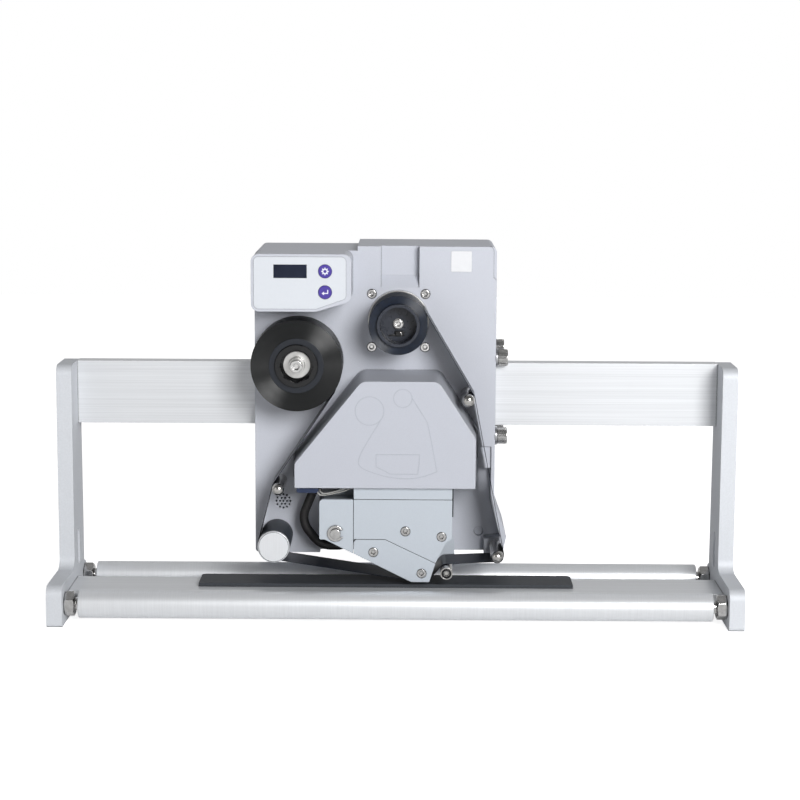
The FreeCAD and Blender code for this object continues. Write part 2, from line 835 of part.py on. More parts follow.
channel = outline(housing, "YZ_Plane", [
    ("bar_front - face - channel_gap", "bar_bottom - channel_gap"),
    ("bar_front - face + bar_thickness + channel_gap", "bar_bottom - channel_gap"),
    ("bar_front - face + bar_thickness + channel_gap", "frame_height + channel_gap"),
    ("bar_front - face - channel_gap", "frame_height + channel_gap"),
])
pocket(housing, channel, "4 * housing_left", both_ways=True)
notch = outline(housing, "YZ_Plane", [
    ("-1", "housing_top + 1"),
    ("-1", "housing_top - loading_ramp_drop"),
    ("0", "housing_top - loading_ramp_drop"),
    ("loading_notch_depth", "housing_top - loading_notch_drop"),
    ("loading_notch_depth", "housing_top + 1"),
], offset="loading_notch_width - loading_notch_left")
pocket(housing, notch, "loading_notch_width")
speaker_rings = [[("-speaker_left", "speaker_height")]]
for count, ring in ((6, "speaker_pitch"), (12, "2 * speaker_pitch")):
    speaker_rings.append([
        (f"-speaker_left + {ring} * cos({360 / count * step})",
         f"speaker_height + {ring} * sin({360 / count * step})")
        for step in range(count)
    ])
for ring_centres in speaker_rings:
    pocket(housing, circles(housing, "XZ_Plane", "speaker_hole / 2", ring_centres),
           "speaker_depth")

# Where the reels, guides and drive roller stand on the housing's face.
SUPPLY = ("-supply_left", "supply_height")
TAKE_UP = ("take_up_right", "take_up_height")
DRIVE = ("-drive_left", "drive_height")
GUIDES = {
    "left": ("-left_guide_left", "left_guide_height"),
    "right": ("right_guide_right", "right_guide_height"),
    "lower": ("lower_guide_right", "lower_guide_height"),
}
for axis, shaft in ((SUPPLY, "supply_shaft_diameter"), (TAKE_UP, "take_up_shaft_diameter"),
                    (DRIVE, "drive_shaft_diameter")):
    bore = circles(housing, "XZ_Plane", f"{shaft} / 2 + running_gap", [axis])
    pocket(housing, bore, "shaft_depth + bore_run_out")
pins = circles(housing, "XZ_Plane", "guide_pin_diameter / 2", list(GUIDES.values()))
pocket(housing, pins, "shaft_depth")
half_spacing = "take_up_screw_spacing / 2"
take_up_seats = [
    (f"take_up_right {a} {half_spacing}", f"take_up_height {b} {half_spacing}")
    for a in "-+" for b in "-+"
]
pocket(housing, circles(housing, "XZ_Plane", "small_screw_diameter / 2", take_up_seats),
       "small_screw_length + small_screw_head_height")
pocket(housing, circles(housing, "XZ_Plane", "small_screw_head / 2 + small_head_gap",
                        take_up_seats), "small_screw_head_height")
group("take_up_screws", [
    cap_screw("small_screw_diameter", "small_screw_head", "small_screw_head_height",
              "small_screw_length", u, "face + small_screw_head_height", v, TO_FRONT)
    for u, v in take_up_seats
])

side_seats = [(f"leg_front + {y}", z) for y in ("side_screw_front", "side_screw_back")
              for z in ("side_screw_upper", "side_screw_lower")]
side_holes = circles(housing, "YZ_Plane", "side_screw_diameter / 2",
                     [(f"{y} - face", z) for y, z in side_seats], offset="housing_right")
pocket(housing, side_holes, "side_screw_length - washer_thickness")
group("side_screws", [
    cap_screw("side_screw_diameter", "side_screw_head", "side_screw_head_height",
              "side_screw_length", "housing_right + washer_thickness", y, z, TO_RIGHT)
    for y, z in side_seats
])
group("side_washers", [
    turned(f"washer_{number}", [
        ("side_screw_diameter / 2 + running_gap", "0"),
        ("washer_diameter / 2", "0"),
        ("washer_diameter / 2", "washer_thickness"),
        ("side_screw_diameter / 2 + running_gap", "washer_thickness"),
    ], "housing_right", y, z, TO_RIGHT)
    for number, (y, z) in enumerate(side_seats, start=1)
])

# Back plate of the housing, its corner screws and the two set screws that clamp the crossbar.
back_corners = [
    ("-housing_left + back_plate_inset", "housing_bottom + back_plate_inset"),
    ("-housing_left + back_plate_inset", "panel_top - back_plate_inset"),
    ("housing_right - back_plate_inset", "panel_top - back_plate_inset"),
    ("housing_right - back_plate_inset", "housing_bottom + back_plate_inset"),
]
back_plate = slab("back_plate", back_corners, "back - back_plate_thickness",
                  "back_plate_thickness", [(u, v, "housing_radius") for u, v in back_corners])
back_seats = [
    (u, v)
    for u in ("-housing_left + back_plate_inset + back_screw_inset",
              "housing_right - back_plate_inset - back_screw_inset")
    for v in ("housing_bottom + back_plate_inset + back_screw_inset",
              "panel_top - back_plate_inset - back_screw_inset")
]
plate_holes = circles(back_plate, "XZ_Plane", "small_screw_diameter / 2", back_seats)
pocket(back_plate, plate_holes, "back_plate_thickness")
plate_heads = circles(back_plate, "XZ_Plane", "small_screw_head / 2 + small_head_gap", back_seats,
                      offset="small_screw_head_height - back_plate_thickness")
pocket(back_plate, plate_heads, "small_screw_head_height")
grip = "small_screw_length + small_screw_head_height - back_plate_thickness"
pocket(housing, circles(housing, "XZ_Plane", "small_screw_diameter / 2", back_seats,
                        offset=f"{grip} - housing_depth"), grip)
group("back_plate_screws", [
    cap_screw("small_screw_diameter", "small_screw_head", "small_screw_head_height",
              "small_screw_length", u, "back - small_screw_head_height", v, TO_BACK)
    for u, v in back_seats
])
clamp_seats = [
    (f"(housing_right - housing_left {side} clamp_screw_spacing) / 2", "bar_middle")
    for side in "-+"
]
clamp_start = "(bar_front + bar_thickness + clamp_gap)"
pocket(housing, circles(housing, "XZ_Plane", "clamp_screw_diameter / 2", clamp_seats,
                        offset=f"face - {clamp_start}"), "housing_depth")
pocket(back_plate, circles(back_plate, "XZ_Plane", "clamp_screw_diameter / 2", clamp_seats),
       "back_plate_thickness")
clamp_screws = []
for u, v in clamp_seats:
    stud = rod("clamp_screw_diameter", f"back - clamp_screw_inset - {clamp_start}",
               u, clamp_start, v, TO_BACK)
    key = place(doc.addObject("Part::Prism", "Key"), u, "back - clamp_screw_diameter", v, TO_BACK)
    key.Polygon = 6
    bind(key, Circumradius="clamp_screw_diameter / 4", Height="clamp_screw_diameter")
    screw = doc.addObject("Part::Cut", "SetScrew")
    screw.Base = stud
    screw.Tool = key
    clamp_screws.append(screw)
group("clamp_screws", clamp_screws)

# Raised control panel with its overlay, display window and two push buttons.
cut_corner = ("panel_right - panel_cut_width", "panel_bottom")
panel_corners = [
    ("-housing_left", "panel_bottom"),
    ("-housing_left", "panel_top"),
    ("panel_right", "panel_top"),
    ("panel_right", "panel_bottom + panel_cut_height"),
    cut_corner,
]
control_panel = slab("control_panel", panel_corners, "panel_front", "panel_reach", [
    (u, v, "panel_radius") for u, v in panel_corners if (u, v) != cut_corner
])
overlay_corners = [
    ("-housing_left + panel_rim", "panel_bottom + panel_rim"),
    ("-housing_left + panel_rim", "panel_top - panel_rim"),
    ("panel_right - overlay_right_rim", "panel_top - panel_rim"),
    ("panel_right - overlay_right_rim", "panel_bottom + panel_rim + panel_cut_height"),
    ("panel_right - panel_cut_width", "panel_bottom + panel_rim"),
]
overlay = slab("panel_overlay", overlay_corners, "panel_front - overlay_thickness",
               "overlay_thickness", [(u, v, "overlay_radius") for u, v in overlay_corners[:4]])
display_corners = [
    (f"-housing_left + display_inset {a} display_width / 2",
     f"panel_top - display_drop {b} display_height / 2")
    for a, b in ("--", "-+", "++", "+-")
]
pocket(overlay, outline(overlay, "XZ_Plane", display_corners), "overlay_thickness")
display_pocket = outline(control_panel, "XZ_Plane", display_corners)
pocket(control_panel, display_pocket, "display_thickness - overlay_thickness")
slab("display_window", display_corners, "panel_front - overlay_thickness", "display_thickness")
button_seats = {
    "gear_button": ("-housing_left + button_inset", "panel_top - gear_button_drop"),
    "enter_button": ("-housing_left + button_inset", "panel_top - enter_button_drop"),
}
button_bore = "button_diameter / 2 + button_gap"
pocket(overlay, circles(overlay, "XZ_Plane", button_bore, list(button_seats.values())),
       "overlay_thickness")
well = "button_thickness - button_proud + button_travel"
pocket(control_panel, circles(control_panel, "XZ_Plane", button_bore,
                              list(button_seats.values())), well)
for label, (u, v) in button_seats.items():
    turned(label, [
        ("0", "0"),
        ("button_diameter / 2", "0"),
        ("button_diameter / 2", "button_thickness - button_chamfer"),
        ("button_diameter / 2 - button_chamfer", "button_thickness"),
        ("0", "button_thickness"),
    ], u, "panel_front + button_thickness - button_proud", v, TO_FRONT)

# Ribbon cover: drafted hood, open at the back and below, that hides the carriage's rail.
cover_corners = [
    ("-cover_left", "cover_bottom"),
    ("-cover_left", "cover_left_shoulder"),
    ("-cover_top_left", "cover_top"),
    ("cover_top_right", "cover_top"),
    ("cover_right", "cover_right_shoulder"),
    ("cover_right", "cover_bottom"),
]
cover = new_body("ribbon_cover", y="cover_front")
shape = pad(cover, outline(cover, "XZ_Plane", cover_corners), "cover_reach", reverse=True)
bind(shape, TaperAngle="cover_draft")
doc.recompute()
round_corners(cover, "XZ_Plane", [
    ("-cover_left", "cover_left_shoulder", "cover_side_radius"),
    ("-cover_top_left", "cover_top", "cover_top_radius"),
    ("cover_top_right", "cover_top", "cover_top_radius"),
    ("cover_right", "cover_right_shoulder", "cover_side_radius"),
])
trim = outline(cover, "XZ_Plane", [
    ("-2 * cover_left", "cover_bottom"),
    ("2 * cover_right", "cover_bottom"),
    ("2 * cover_right", "0"),
    ("-2 * cover_left", "0"),
])
pocket(cover, trim, "cover_reach")
hollow = outline(cover, "XZ_Plane", [
    ("-cover_left + cover_wall", "cover_bottom / 2"),
    ("-cover_left + cover_wall",
     "cover_left_shoulder - cover_wall * tan(45 deg - cover_left_slope / 2)"),
    ("-cover_top_left + cover_wall * tan(cover_left_slope / 2)", "cover_top - cover_wall"),
    ("cover_top_right - cover_wall * tan(cover_right_slope / 2)", "cover_top - cover_wall"),
    ("cover_right - cover_wall",
     "cover_right_shoulder - cover_wall * tan(45 deg - cover_right_slope / 2)"),
    ("cover_right - cover_wall", "cover_bottom / 2"),
], offset="-cover_wall")
pocket(cover, hollow, "cover_reach")
latch = outline(cover, "XZ_Plane", [
    ("-latch_left", "cover_top - 2 * cover_wall"),
    ("latch_width - latch_left", "cover_top - 2 * cover_wall"),
    ("latch_width - latch_left", "cover_top + 2 * cover_wall"),
    ("-latch_left", "cover_top + 2 * cover_wall"),
], offset="latch_depth - cover_reach")
pocket(cover, latch, "latch_depth")

# Reels: each turns on a spindle in the housing and carries a black hub with wound ribbon.
spindle = turned("supply_spindle", stepped([
    ("supply_shaft_diameter / 2", "supply_seat"),
    ("supply_cap_diameter / 2", "supply_cap_thickness"),
    ("supply_shaft_diameter / 2", "supply_boss_length"),
]), SUPPLY[0], "shaft_back", SUPPLY[1], TO_FRONT)
screw_hole = circles(spindle, "XY_Plane", "supply_screw_diameter / 2", [("0", "0")],
                     offset="supply_nose")
pocket(spindle, screw_hole, "small_screw_length")
piece(cap_screw("supply_screw_diameter", "supply_screw_head", "supply_screw_head_height",
                "small_screw_length", SUPPLY[0], "shaft_back - supply_nose", SUPPLY[1], TO_FRONT),
      "supply_screw")
web_front = "(hub_length - hub_reach + supply_web_front)"
supply_hub = turned("supply_hub", stepped([("core_diameter / 2", "hub_length")],
                                          "supply_shaft_diameter / 2"),
                    SUPPLY[0], "reel_back", SUPPLY[1], TO_FRONT)
for floor, depth in (("0", f"{web_front} - supply_web_thickness"),
                     (web_front, f"hub_length - {web_front}")):
    octagon = outline(supply_hub, "XY_Plane", [
        (f"(core_diameter / 2 - hub_wall) * cos({45 * corner})",
         f"(core_diameter / 2 - hub_wall) * sin({45 * corner})")
        for corner in range(8)
    ], offset=floor)
    pocket(supply_hub, octagon, depth, reverse=True)
turned("supply_ribbon", stepped([("supply_diameter / 2", "ribbon_width")], "core_diameter / 2"),
       SUPPLY[0], "ribbon_back", SUPPLY[1], TO_FRONT)

spindle = turned("take_up_spindle", stepped([
    ("take_up_shaft_diameter / 2", "shaft_depth + reel_gap"),
    ("take_up_disc_diameter / 2", "take_up_disc_thickness"),
    ("take_up_shaft_diameter / 2", "take_up_floor"),
]), TAKE_UP[0], "shaft_back", TAKE_UP[1], TO_FRONT)
take_up_nose = "(shaft_depth + reel_gap + take_up_disc_thickness + take_up_floor)"
screw_hole = circles(spindle, "XY_Plane", "small_screw_diameter / 2", [("0", "0")],
                     offset=take_up_nose)
pocket(spindle, screw_hole, "small_screw_length")
piece(cap_screw("small_screw_diameter", "small_screw_head", "small_screw_head_height",
                "small_screw_length", TAKE_UP[0], f"shaft_back - {take_up_nose}", TAKE_UP[1],
                TO_FRONT), "take_up_screw")
hub_back = "(reel_back - take_up_disc_thickness)"
take_up_hub = turned("take_up_hub", [
    ("take_up_shaft_diameter / 2", "0"),
    ("core_diameter / 2", "0"),
    ("core_diameter / 2", "hub_length - take_up_disc_thickness"),
    ("take_up_cup_bore / 2", "hub_length - take_up_disc_thickness"),
    ("take_up_cup_bore / 2", "take_up_floor"),
    ("take_up_shaft_diameter / 2", "take_up_floor"),
], TAKE_UP[0], hub_back, TAKE_UP[1], TO_FRONT)
clip_recess = outline(take_up_hub, "XY_Plane", [
    (f"{a} take_up_clip_width / 2", f"-take_up_clip_drop {b} take_up_clip_height / 2")
    for a, b in ("--", "+-", "++", "-+")
], offset="take_up_floor")
pocket(take_up_hub, clip_recess, "take_up_clip_depth")
turned("take_up_ribbon", stepped([("take_up_diameter / 2", "ribbon_width")],
                                 "core_diameter / 2"),
       TAKE_UP[0], "ribbon_back", TAKE_UP[1], TO_FRONT)

# Drive roller: aluminium core with a bright end cap and a black rubber sleeve.
core_radius = "(drive_diameter / 2 - drive_sleeve_wall)"
core = turned("drive_roller_core", stepped([
    ("drive_shaft_diameter / 2", "shaft_back - roller_back"),
    (core_radius, "guide_length"),
    ("(drive_diameter / 2 - running_gap)", "drive_cap_length"),
]), DRIVE[0], "shaft_back", DRIVE[1], TO_FRONT)
round_end(core, "drive_cap_radius")
turned("drive_roller_sleeve", stepped([("drive_diameter / 2", "guide_length")], core_radius),
       DRIVE[0], "roller_back", DRIVE[1], TO_FRONT)

# Guide rollers: ball-nosed, each on a pin that stands in the housing's face.
guide_pins = []
for name, (u, v) in GUIDES.items():
    roller = turned(f"{name}_guide_roller", [
        ("0", "guide_length - guide_pin_reach + guide_nose"),
        ("guide_pin_diameter / 2 + running_gap", "guide_length - guide_pin_reach + guide_nose"),
        ("guide_pin_diameter / 2 + running_gap", "0"),
        (f"{name}_guide_diameter / 2", "0"),
        (f"{name}_guide_diameter / 2", "guide_length"),
        ("0", "guide_length"),
    ], u, "roller_back", v, TO_FRONT)
    round_end(roller, f"{name}_guide_diameter / 2 - guide_nose")
    guide_pins.append(rod("guide_pin_diameter",
                          "shaft_back - roller_back + guide_length - guide_pin_reach",
                          u, "shaft_back", v, TO_FRONT))
group("guide_pins", guide_pins)

# Print-head carriage: block, frame plate and peel-roller arm in one, on a rail on the face.
rail = place(doc.addObject("Part::Box", "Rail"), "-rail_left", "face - rail_thickness",
             "rail_bottom")
bind(rail, Length="rail_left + rail_right", Width="rail_thickness", Height="rail_height")
piece(rail, "head_rail")
carriage = new_body("head_carriage", y="head_face")
block = outline(carriage, "XZ_Plane", [
    ("-head_split", "carriage_floor"),
    ("-head_split", "carriage_top"),
    ("head_right", "carriage_top"),
    ("head_right", "carriage_floor"),
])
pad(carriage, block, "carriage_depth", reverse=True)
frame_plate = outline(carriage, "XZ_Plane", [
    ("-carriage_left", "carriage_frame_bottom"),
    ("-carriage_left", "carriage_shoulder - carriage_slope"),
    ("-carriage_left + carriage_slope", "carriage_shoulder"),
    ("-carriage_left + carriage_slope", "carriage_top"),
    ("head_right", "carriage_top"),
    ("head_right", "carriage_frame_bottom"),
], offset="head_face - carriage_front")
pad(carriage, frame_plate, "carriage_back - carriage_front", reverse=True)
peel_arm = outline(carriage, "XZ_Plane", [
    ("peel_right - peel_lug_radius", "peel_height"),
    ("peel_right - peel_lug_radius - peel_arm_flare", "carriage_frame_bottom + peel_arm_overlap"),
    ("head_right", "carriage_frame_bottom + peel_arm_overlap"),
    ("peel_right + peel_lug_radius", "peel_height + peel_arm_rise"),
    ("peel_right + peel_lug_radius", "peel_height"),
], offset="-(head_front + peel_lug_front)")
pad(carriage, peel_arm, "peel_lug_thickness", reverse=True)
lug = circles(carriage, "XZ_Plane", "peel_lug_radius", [("peel_right", "peel_height")],
              offset="-(head_front + peel_lug_front)")
pad(carriage, lug, "peel_lug_thickness", reverse=True)
groove = outline(carriage, "YZ_Plane", [
    ("carriage_depth - rail_thickness + face_gap - rail_gap", "rail_bottom - rail_gap"),
    ("carriage_depth + 1", "rail_bottom - rail_gap"),
    ("carriage_depth + 1", "rail_bottom + rail_height + rail_gap"),
    ("carriage_depth - rail_thickness + face_gap - rail_gap",
     "rail_bottom + rail_height + rail_gap"),
])
pocket(carriage, groove, "4 * carriage_left", both_ways=True)
pivot_hole = circles(carriage, "XZ_Plane", "pivot_diameter / 2",
                     [("-pivot_left", "pivot_height")])
pocket(carriage, pivot_hole, "pin_back - head_face")
peel_hole = circles(carriage, "XZ_Plane", "peel_axle_diameter / 2",
                    [("peel_right", "peel_height")])
pocket(carriage, peel_hole, "head_front + peel_lug_front + peel_lug_thickness")

# Pivot pin with its retaining ring in front of the arm plate.
turned("pivot_pin", stepped([
    ("pivot_diameter / 2", "pin_length - pivot_nose + clip_gap"),
    ("clip_groove / 2", "clip_thickness + clip_gap"),
    ("pivot_diameter / 2", "pivot_nose - clip_thickness - 2 * clip_gap"),
]), "-pivot_left", "pin_back", "pivot_height", TO_FRONT)
ring = doc.addObject("Part::Cylinder", "Ring")
bind(ring, Radius="clip_diameter / 2", Height="clip_thickness")
seat = doc.addObject("Part::Cylinder", "Seat")
bind(seat, Radius="clip_groove / 2", Height="clip_thickness")
mouth = place(doc.addObject("Part::Box", "Mouth"), y="-clip_opening / 2")
bind(mouth, Length="clip_diameter", Width="clip_opening", Height="clip_thickness")
clip = drill("retaining_ring", ring, [seat, mouth])
place(clip, "-pivot_left", "head_face - clip_gap", "pivot_height", TO_FRONT)

# Print head: three face plates on a lever that turns on the pivot pin, above the print wedge.
pin_bore = "pivot_diameter / 2 + running_gap"
arm_corners = [
    ("-head_left", "arm_foot"),
    ("-head_left", "head_top"),
    ("-head_split - head_seam", "head_top"),
    ("-head_split - head_seam", "lower_plate_left_foot"),
    ("-arm_chamfer_left", "arm_foot"),
]
arm = slab("arm_plate", arm_corners, "head_face", "head_plate_thickness", [
    (*arm_corners[0], "plate_radius / 2"),
    (*arm_corners[1], "plate_radius"),
])
pocket(arm, circles(arm, "XZ_Plane", pin_bore, [("-pivot_left", "pivot_height")]),
       "head_plate_thickness")
main_plate = slab("main_plate", [
    ("-head_split", "lower_plate_shoulder + head_seam"),
    ("-head_split", "head_top"),
    ("head_right", "head_top"),
    ("head_right", "main_plate_chamfer_top"),
    ("main_plate_chamfer_right", "main_plate_chamfer_bottom"),
    ("lower_plate_right", "lower_plate_right_height + head_seam"),
    ("-lower_plate_shoulder_left", "lower_plate_shoulder + head_seam"),
], "head_face", "head_plate_thickness")
lower_corners = [
    ("-head_split", "lower_plate_left_foot"),
    ("-head_split", "lower_plate_shoulder"),
    ("-lower_plate_shoulder_left", "lower_plate_shoulder"),
    ("lower_plate_right", "lower_plate_right_height"),
    ("tip_right", "tip_height"),
    ("tip_left", "tip_height"),
]
tip_rounds = [(*corner, "tip_radius") for corner in lower_corners[-2:]]
lower_plate = slab("lower_plate", lower_corners, "head_face", "head_plate_thickness", [
    (*lower_corners[1], "plate_radius"),
    *tip_rounds,
])
lever_corners = [
    ("-lever_left", "arm_foot"),
    ("-lever_left", "lever_top"),
    ("lever_right", "lever_top"),
    ("lever_right", "lever_floor"),
    ("-pivot_left + plate_radius", "lever_floor"),
]
lever = slab("head_lever", lever_corners, "plate_back", "lever_length")
pocket(lever, circles(lever, "XZ_Plane", pin_bore, [("-pivot_left", "pivot_height")]),
       "lever_length")
wedge = slab("thermal_head", [
    ("-wedge_left", "lower_plate_left_foot"),
    ("-wedge_left", "lever_floor"),
    ("lower_plate_right - wedge_inset", "lever_floor"),
    ("lower_plate_right - wedge_inset", "lower_plate_right_height"),
    ("tip_right", "tip_height"),
    ("tip_left", "tip_height"),
], "plate_back", "wedge_back + head_front - head_plate_thickness", tip_rounds)
head_seats = {
    "upper": ("upper_screw_right", "upper_screw_height", main_plate, lever),
    "side": ("side_screw_right", "side_screw_height", main_plate, lever),
    "left": ("-left_screw_left", "left_screw_height", lower_plate, wedge),
    "tip": ("tip_screw_right", "tip_screw_height", lower_plate, wedge),
}
head_screws = []
for u, v, plate, carrier in head_seats.values():
    pocket(plate, circles(plate, "XZ_Plane", "small_screw_diameter / 2", [(u, v)]),
           "head_plate_thickness")
    pocket(plate, circles(plate, "XZ_Plane", "small_screw_head / 2 + small_head_gap", [(u, v)]),
           "small_screw_head_height")
    pocket(carrier, circles(carrier, "XZ_Plane", "small_screw_diameter / 2", [(u, v)]),
           "small_screw_length + small_screw_head_height - head_plate_thickness")
    head_screws.append(cap_screw(
        "small_screw_diameter", "small_screw_head", "small_screw_head_height",
        "small_screw_length", u, "head_face + small_screw_head_height", v, TO_FRONT,
    ))
group("head_screws", head_screws)

# Peel roller on its axle, whose socket head lies in the roller's mouth.
mouth_depth = "(peel_screw_depth + 2 * ribbon_gap)"
turned("peel_roller", [
    ("peel_axle_diameter / 2 + running_gap", "0"),
    ("peel_diameter / 2", "0"),
    ("peel_diameter / 2", "peel_length"),
    ("peel_screw_head / 2 + ribbon_gap", "peel_length"),
    ("peel_screw_head / 2 + ribbon_gap", f"peel_length - {mouth_depth}"),
    ("peel_axle_diameter / 2 + running_gap", f"peel_length - {mouth_depth}"),
], "peel_right", "peel_back", "peel_height", TO_FRONT)
axle_back = "(leg_front + peel_lug_front + peel_lug_thickness)"
peel_axle = turned("peel_axle", stepped([
    ("peel_axle_diameter / 2",
     f"{axle_back} - leg_front + peel_front - {mouth_depth} + ribbon_gap"),
    ("peel_screw_head / 2", "peel_screw_depth"),
]), "peel_right", axle_back, "peel_height", TO_FRONT)
peel_socket = outline(peel_axle, "XY_Plane", [
    (f"peel_socket / 2 * cos({60 * corner})", f"peel_socket / 2 * sin({60 * corner})")
    for corner in range(6)
], offset=f"{axle_back} - leg_front + peel_front - ribbon_gap")
pocket(peel_axle, peel_socket, "peel_screw_depth")

# Ribbon: one band that runs round these circles, each with the turn the ribbon makes there.
# Its lines and arcs are worked out in the X-Z plane, so the bands are made as plain shapes.
COUNTERCLOCKWISE = 1
CLOCKWISE = -1
left_slope = math.atan2(amount("lower_plate_left_foot - tip_height"),
                        amount("head_split + tip_left"))
right_slope = math.atan2(amount("lower_plate_right_height - tip_height"),
                         amount("lower_plate_right - tip_right"))
RIBBON_PATH = [
    (*SUPPLY, "supply_diameter / 2", CLOCKWISE),
    (*GUIDES["left"], "left_guide_diameter / 2", COUNTERCLOCKWISE),
    (*DRIVE, "drive_diameter / 2", COUNTERCLOCKWISE),
    (f"tip_left + tip_radius * {math.tan(left_slope / 2)}", "tip_height + tip_radius",
     "tip_radius", COUNTERCLOCKWISE),
    (f"tip_right - tip_radius * {math.tan(right_slope / 2)}", "tip_height + tip_radius",
     "tip_radius", COUNTERCLOCKWISE),
    ("peel_right", "peel_height", "peel_diameter / 2", CLOCKWISE),
    (*GUIDES["lower"], "lower_guide_diameter / 2", COUNTERCLOCKWISE),
    (*GUIDES["right"], "right_guide_diameter / 2", COUNTERCLOCKWISE),
    (*TAKE_UP, "take_up_diameter / 2", COUNTERCLOCKWISE),
]
ribbon_half = amount("ribbon_thickness / 2")
stops = []
for u, v, radius, turn in RIBBON_PATH:
    centre = FreeCAD.Vector(amount(u), 0, amount(v))
    stops.append((centre, turn * (amount(radius) + amount("ribbon_gap") + ribbon_half)))


def tangent(start, end):
    """The straight run between two stops: where it leaves, where it lands, and its left side."""
    way = end[0] - start[0]
    angle = math.atan2(way.z, way.x) - math.asin((end[1] - start[1]) / way.Length)
    left = FreeCAD.Vector(-math.sin(angle), 0, math.cos(angle))
    return start[0] - left * start[1], end[0] - left * end[1], left


runs = [tangent(start, end) for start, end in zip(stops, stops[1:])]


def straight_side(run, side):
    leave, land, left = runs[run]
    shift = left * side * ribbon_half
    return Part.makeLine(leave + shift, land + shift)


def curved_side(stop, side):
    """One side of the band where it bends round a stop."""
    centre, signed_radius = stops[stop]
    start = (runs[stop - 1][1] - centre) / abs(signed_radius)
    end = (runs[stop][0] - centre) / abs(signed_radius)
    middle = (start + end).normalize()
    if (start.x * end.z - start.z * end.x) * signed_radius < 0:
        middle = -middle
    radius = abs(signed_radius - side * ribbon_half)
    points = [centre + direction * radius for direction in (start, middle, end)]
    return Part.Arc(*points).toShape()


def ribbon_band(label, spans):
    """A length of ribbon from a list of (kind, number) spans: straight runs and bends."""
    makers = {"run": straight_side, "bend": curved_side}
    sides = [[makers[kind](number, side) for kind, number in spans] for side in (1, -1)]
    starts = [edges[0].Vertexes[0].Point for edges in sides]
    ends = [edges[-1].Vertexes[-1].Point for edges in sides]
    edges = sides[0] + sides[1] + [Part.makeLine(*starts), Part.makeLine(*ends)]
    face = Part.Face(Part.Wire(Part.__sortEdges__(edges)))
    band = doc.addObject("Part::Feature", label)
    band.Shape = face.extrude(FreeCAD.Vector(0, amount("ribbon_width"), 0))
    piece(place(band, y="ribbon_back - ribbon_width"), label)


ribbon_band("ribbon_left", [("run", 0), ("bend", 1), ("run", 1), ("bend", 2)])
ribbon_band("ribbon_lower", [("run", 2), ("bend", 3), ("run", 3), ("bend", 4)])
ribbon_band("ribbon_head", [("run", 4), ("bend", 5)])
ribbon_band("ribbon_return", [("run", 5)])
ribbon_band("ribbon_right", [("bend", 6), ("run", 6), ("bend", 7), ("run", 7)])

# Head cable: out of the housing, round the left of the head and up into the lever. Its bends
# lie in two planes, so it is swept along a wire of (corner, radius of the bend there).
cable_y = "leg_front + cable_front"
CABLE_ROUTE = [
    ("-cable_outlet_left", "face + recess_depth", "cable_outlet_height", "0"),
    ("-cable_outlet_left", cable_y, "cable_outlet_height", "cable_bend"),
    ("-cable_left", cable_y, "cable_turn_height", "cable_sweep"),
    ("-cable_foot_left", cable_y, "cable_low", "cable_sweep"),
    ("-cable_inlet_left", cable_y, "cable_low", "lever_floor - cable_low"),
    ("-cable_inlet_left", cable_y, "lever_floor", "0"),
]
route = [FreeCAD.Vector(amount(x), amount(y), amount(z)) for x, y, z, _ in CABLE_ROUTE]
bends = [amount(radius) for _, _, _, radius in CABLE_ROUTE]
edges = []
start = route[0]
for before, corner, after, bend in zip(route, route[1:], route[2:], bends[1:]):
    into = (corner - before).normalize()
    out = (after - corner).normalize()
    half_turn = into.getAngle(out) / 2
    reach = bend * math.tan(half_turn)
    bend_middle = corner + (out - into).normalize() * bend * (1 / math.cos(half_turn) - 1)
    bend_end = corner + out * reach
    if (corner - into * reach - start).Length > 0.001:
        edges.append(Part.makeLine(start, corner - into * reach))
    edges.append(Part.Arc(corner - into * reach, bend_middle, bend_end).toShape())
    start = bend_end
if (route[-1] - start).Length > 0.001:
    edges.append(Part.makeLine(start, route[-1]))
section = Part.Wire(Part.makeCircle(amount("cable_diameter / 2"), route[0], route[1] - route[0]))
cable = doc.addObject("Part::Feature", "head_cable")
cable.Shape = Part.Wire(edges).makePipeShell([section], True, False)
piece(cable, "head_cable")

doc.recompute()
for made in doc.Objects:
    if {"Invalid", "Error"} & set(made.State):
        raise RuntimeError(f"{made.Label} did not recompute")
os.makedirs("parts", exist_ok=True)
for made in pieces:
    if made.Shape.isNull() or not made.Shape.isValid():
        raise RuntimeError(f"{made.Label} has no valid shape")
    made.Shape.exportStep(f"parts/{made.Label}.step")
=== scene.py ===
import math

import bmesh
import bpy
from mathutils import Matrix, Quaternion, Vector


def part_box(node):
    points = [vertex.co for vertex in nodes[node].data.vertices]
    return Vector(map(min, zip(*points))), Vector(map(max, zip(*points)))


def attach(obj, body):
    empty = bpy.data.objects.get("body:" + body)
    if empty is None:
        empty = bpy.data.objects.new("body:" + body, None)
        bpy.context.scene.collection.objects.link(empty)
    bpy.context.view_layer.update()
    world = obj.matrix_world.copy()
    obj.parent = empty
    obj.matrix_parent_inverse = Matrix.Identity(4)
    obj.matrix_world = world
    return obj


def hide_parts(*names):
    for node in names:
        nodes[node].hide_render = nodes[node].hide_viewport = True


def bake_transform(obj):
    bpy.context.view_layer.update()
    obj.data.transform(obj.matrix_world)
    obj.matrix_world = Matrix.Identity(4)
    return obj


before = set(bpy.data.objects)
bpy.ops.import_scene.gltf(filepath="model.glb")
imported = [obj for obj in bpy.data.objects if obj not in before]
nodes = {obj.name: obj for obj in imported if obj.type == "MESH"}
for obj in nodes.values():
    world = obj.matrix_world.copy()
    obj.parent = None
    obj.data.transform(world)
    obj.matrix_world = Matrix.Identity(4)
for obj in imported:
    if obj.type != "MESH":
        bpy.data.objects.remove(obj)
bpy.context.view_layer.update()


def placed(name, data):
    """A new object in the scene."""
    piece = bpy.data.objects.new(name, data)
    bpy.context.collection.objects.link(piece)
    return piece


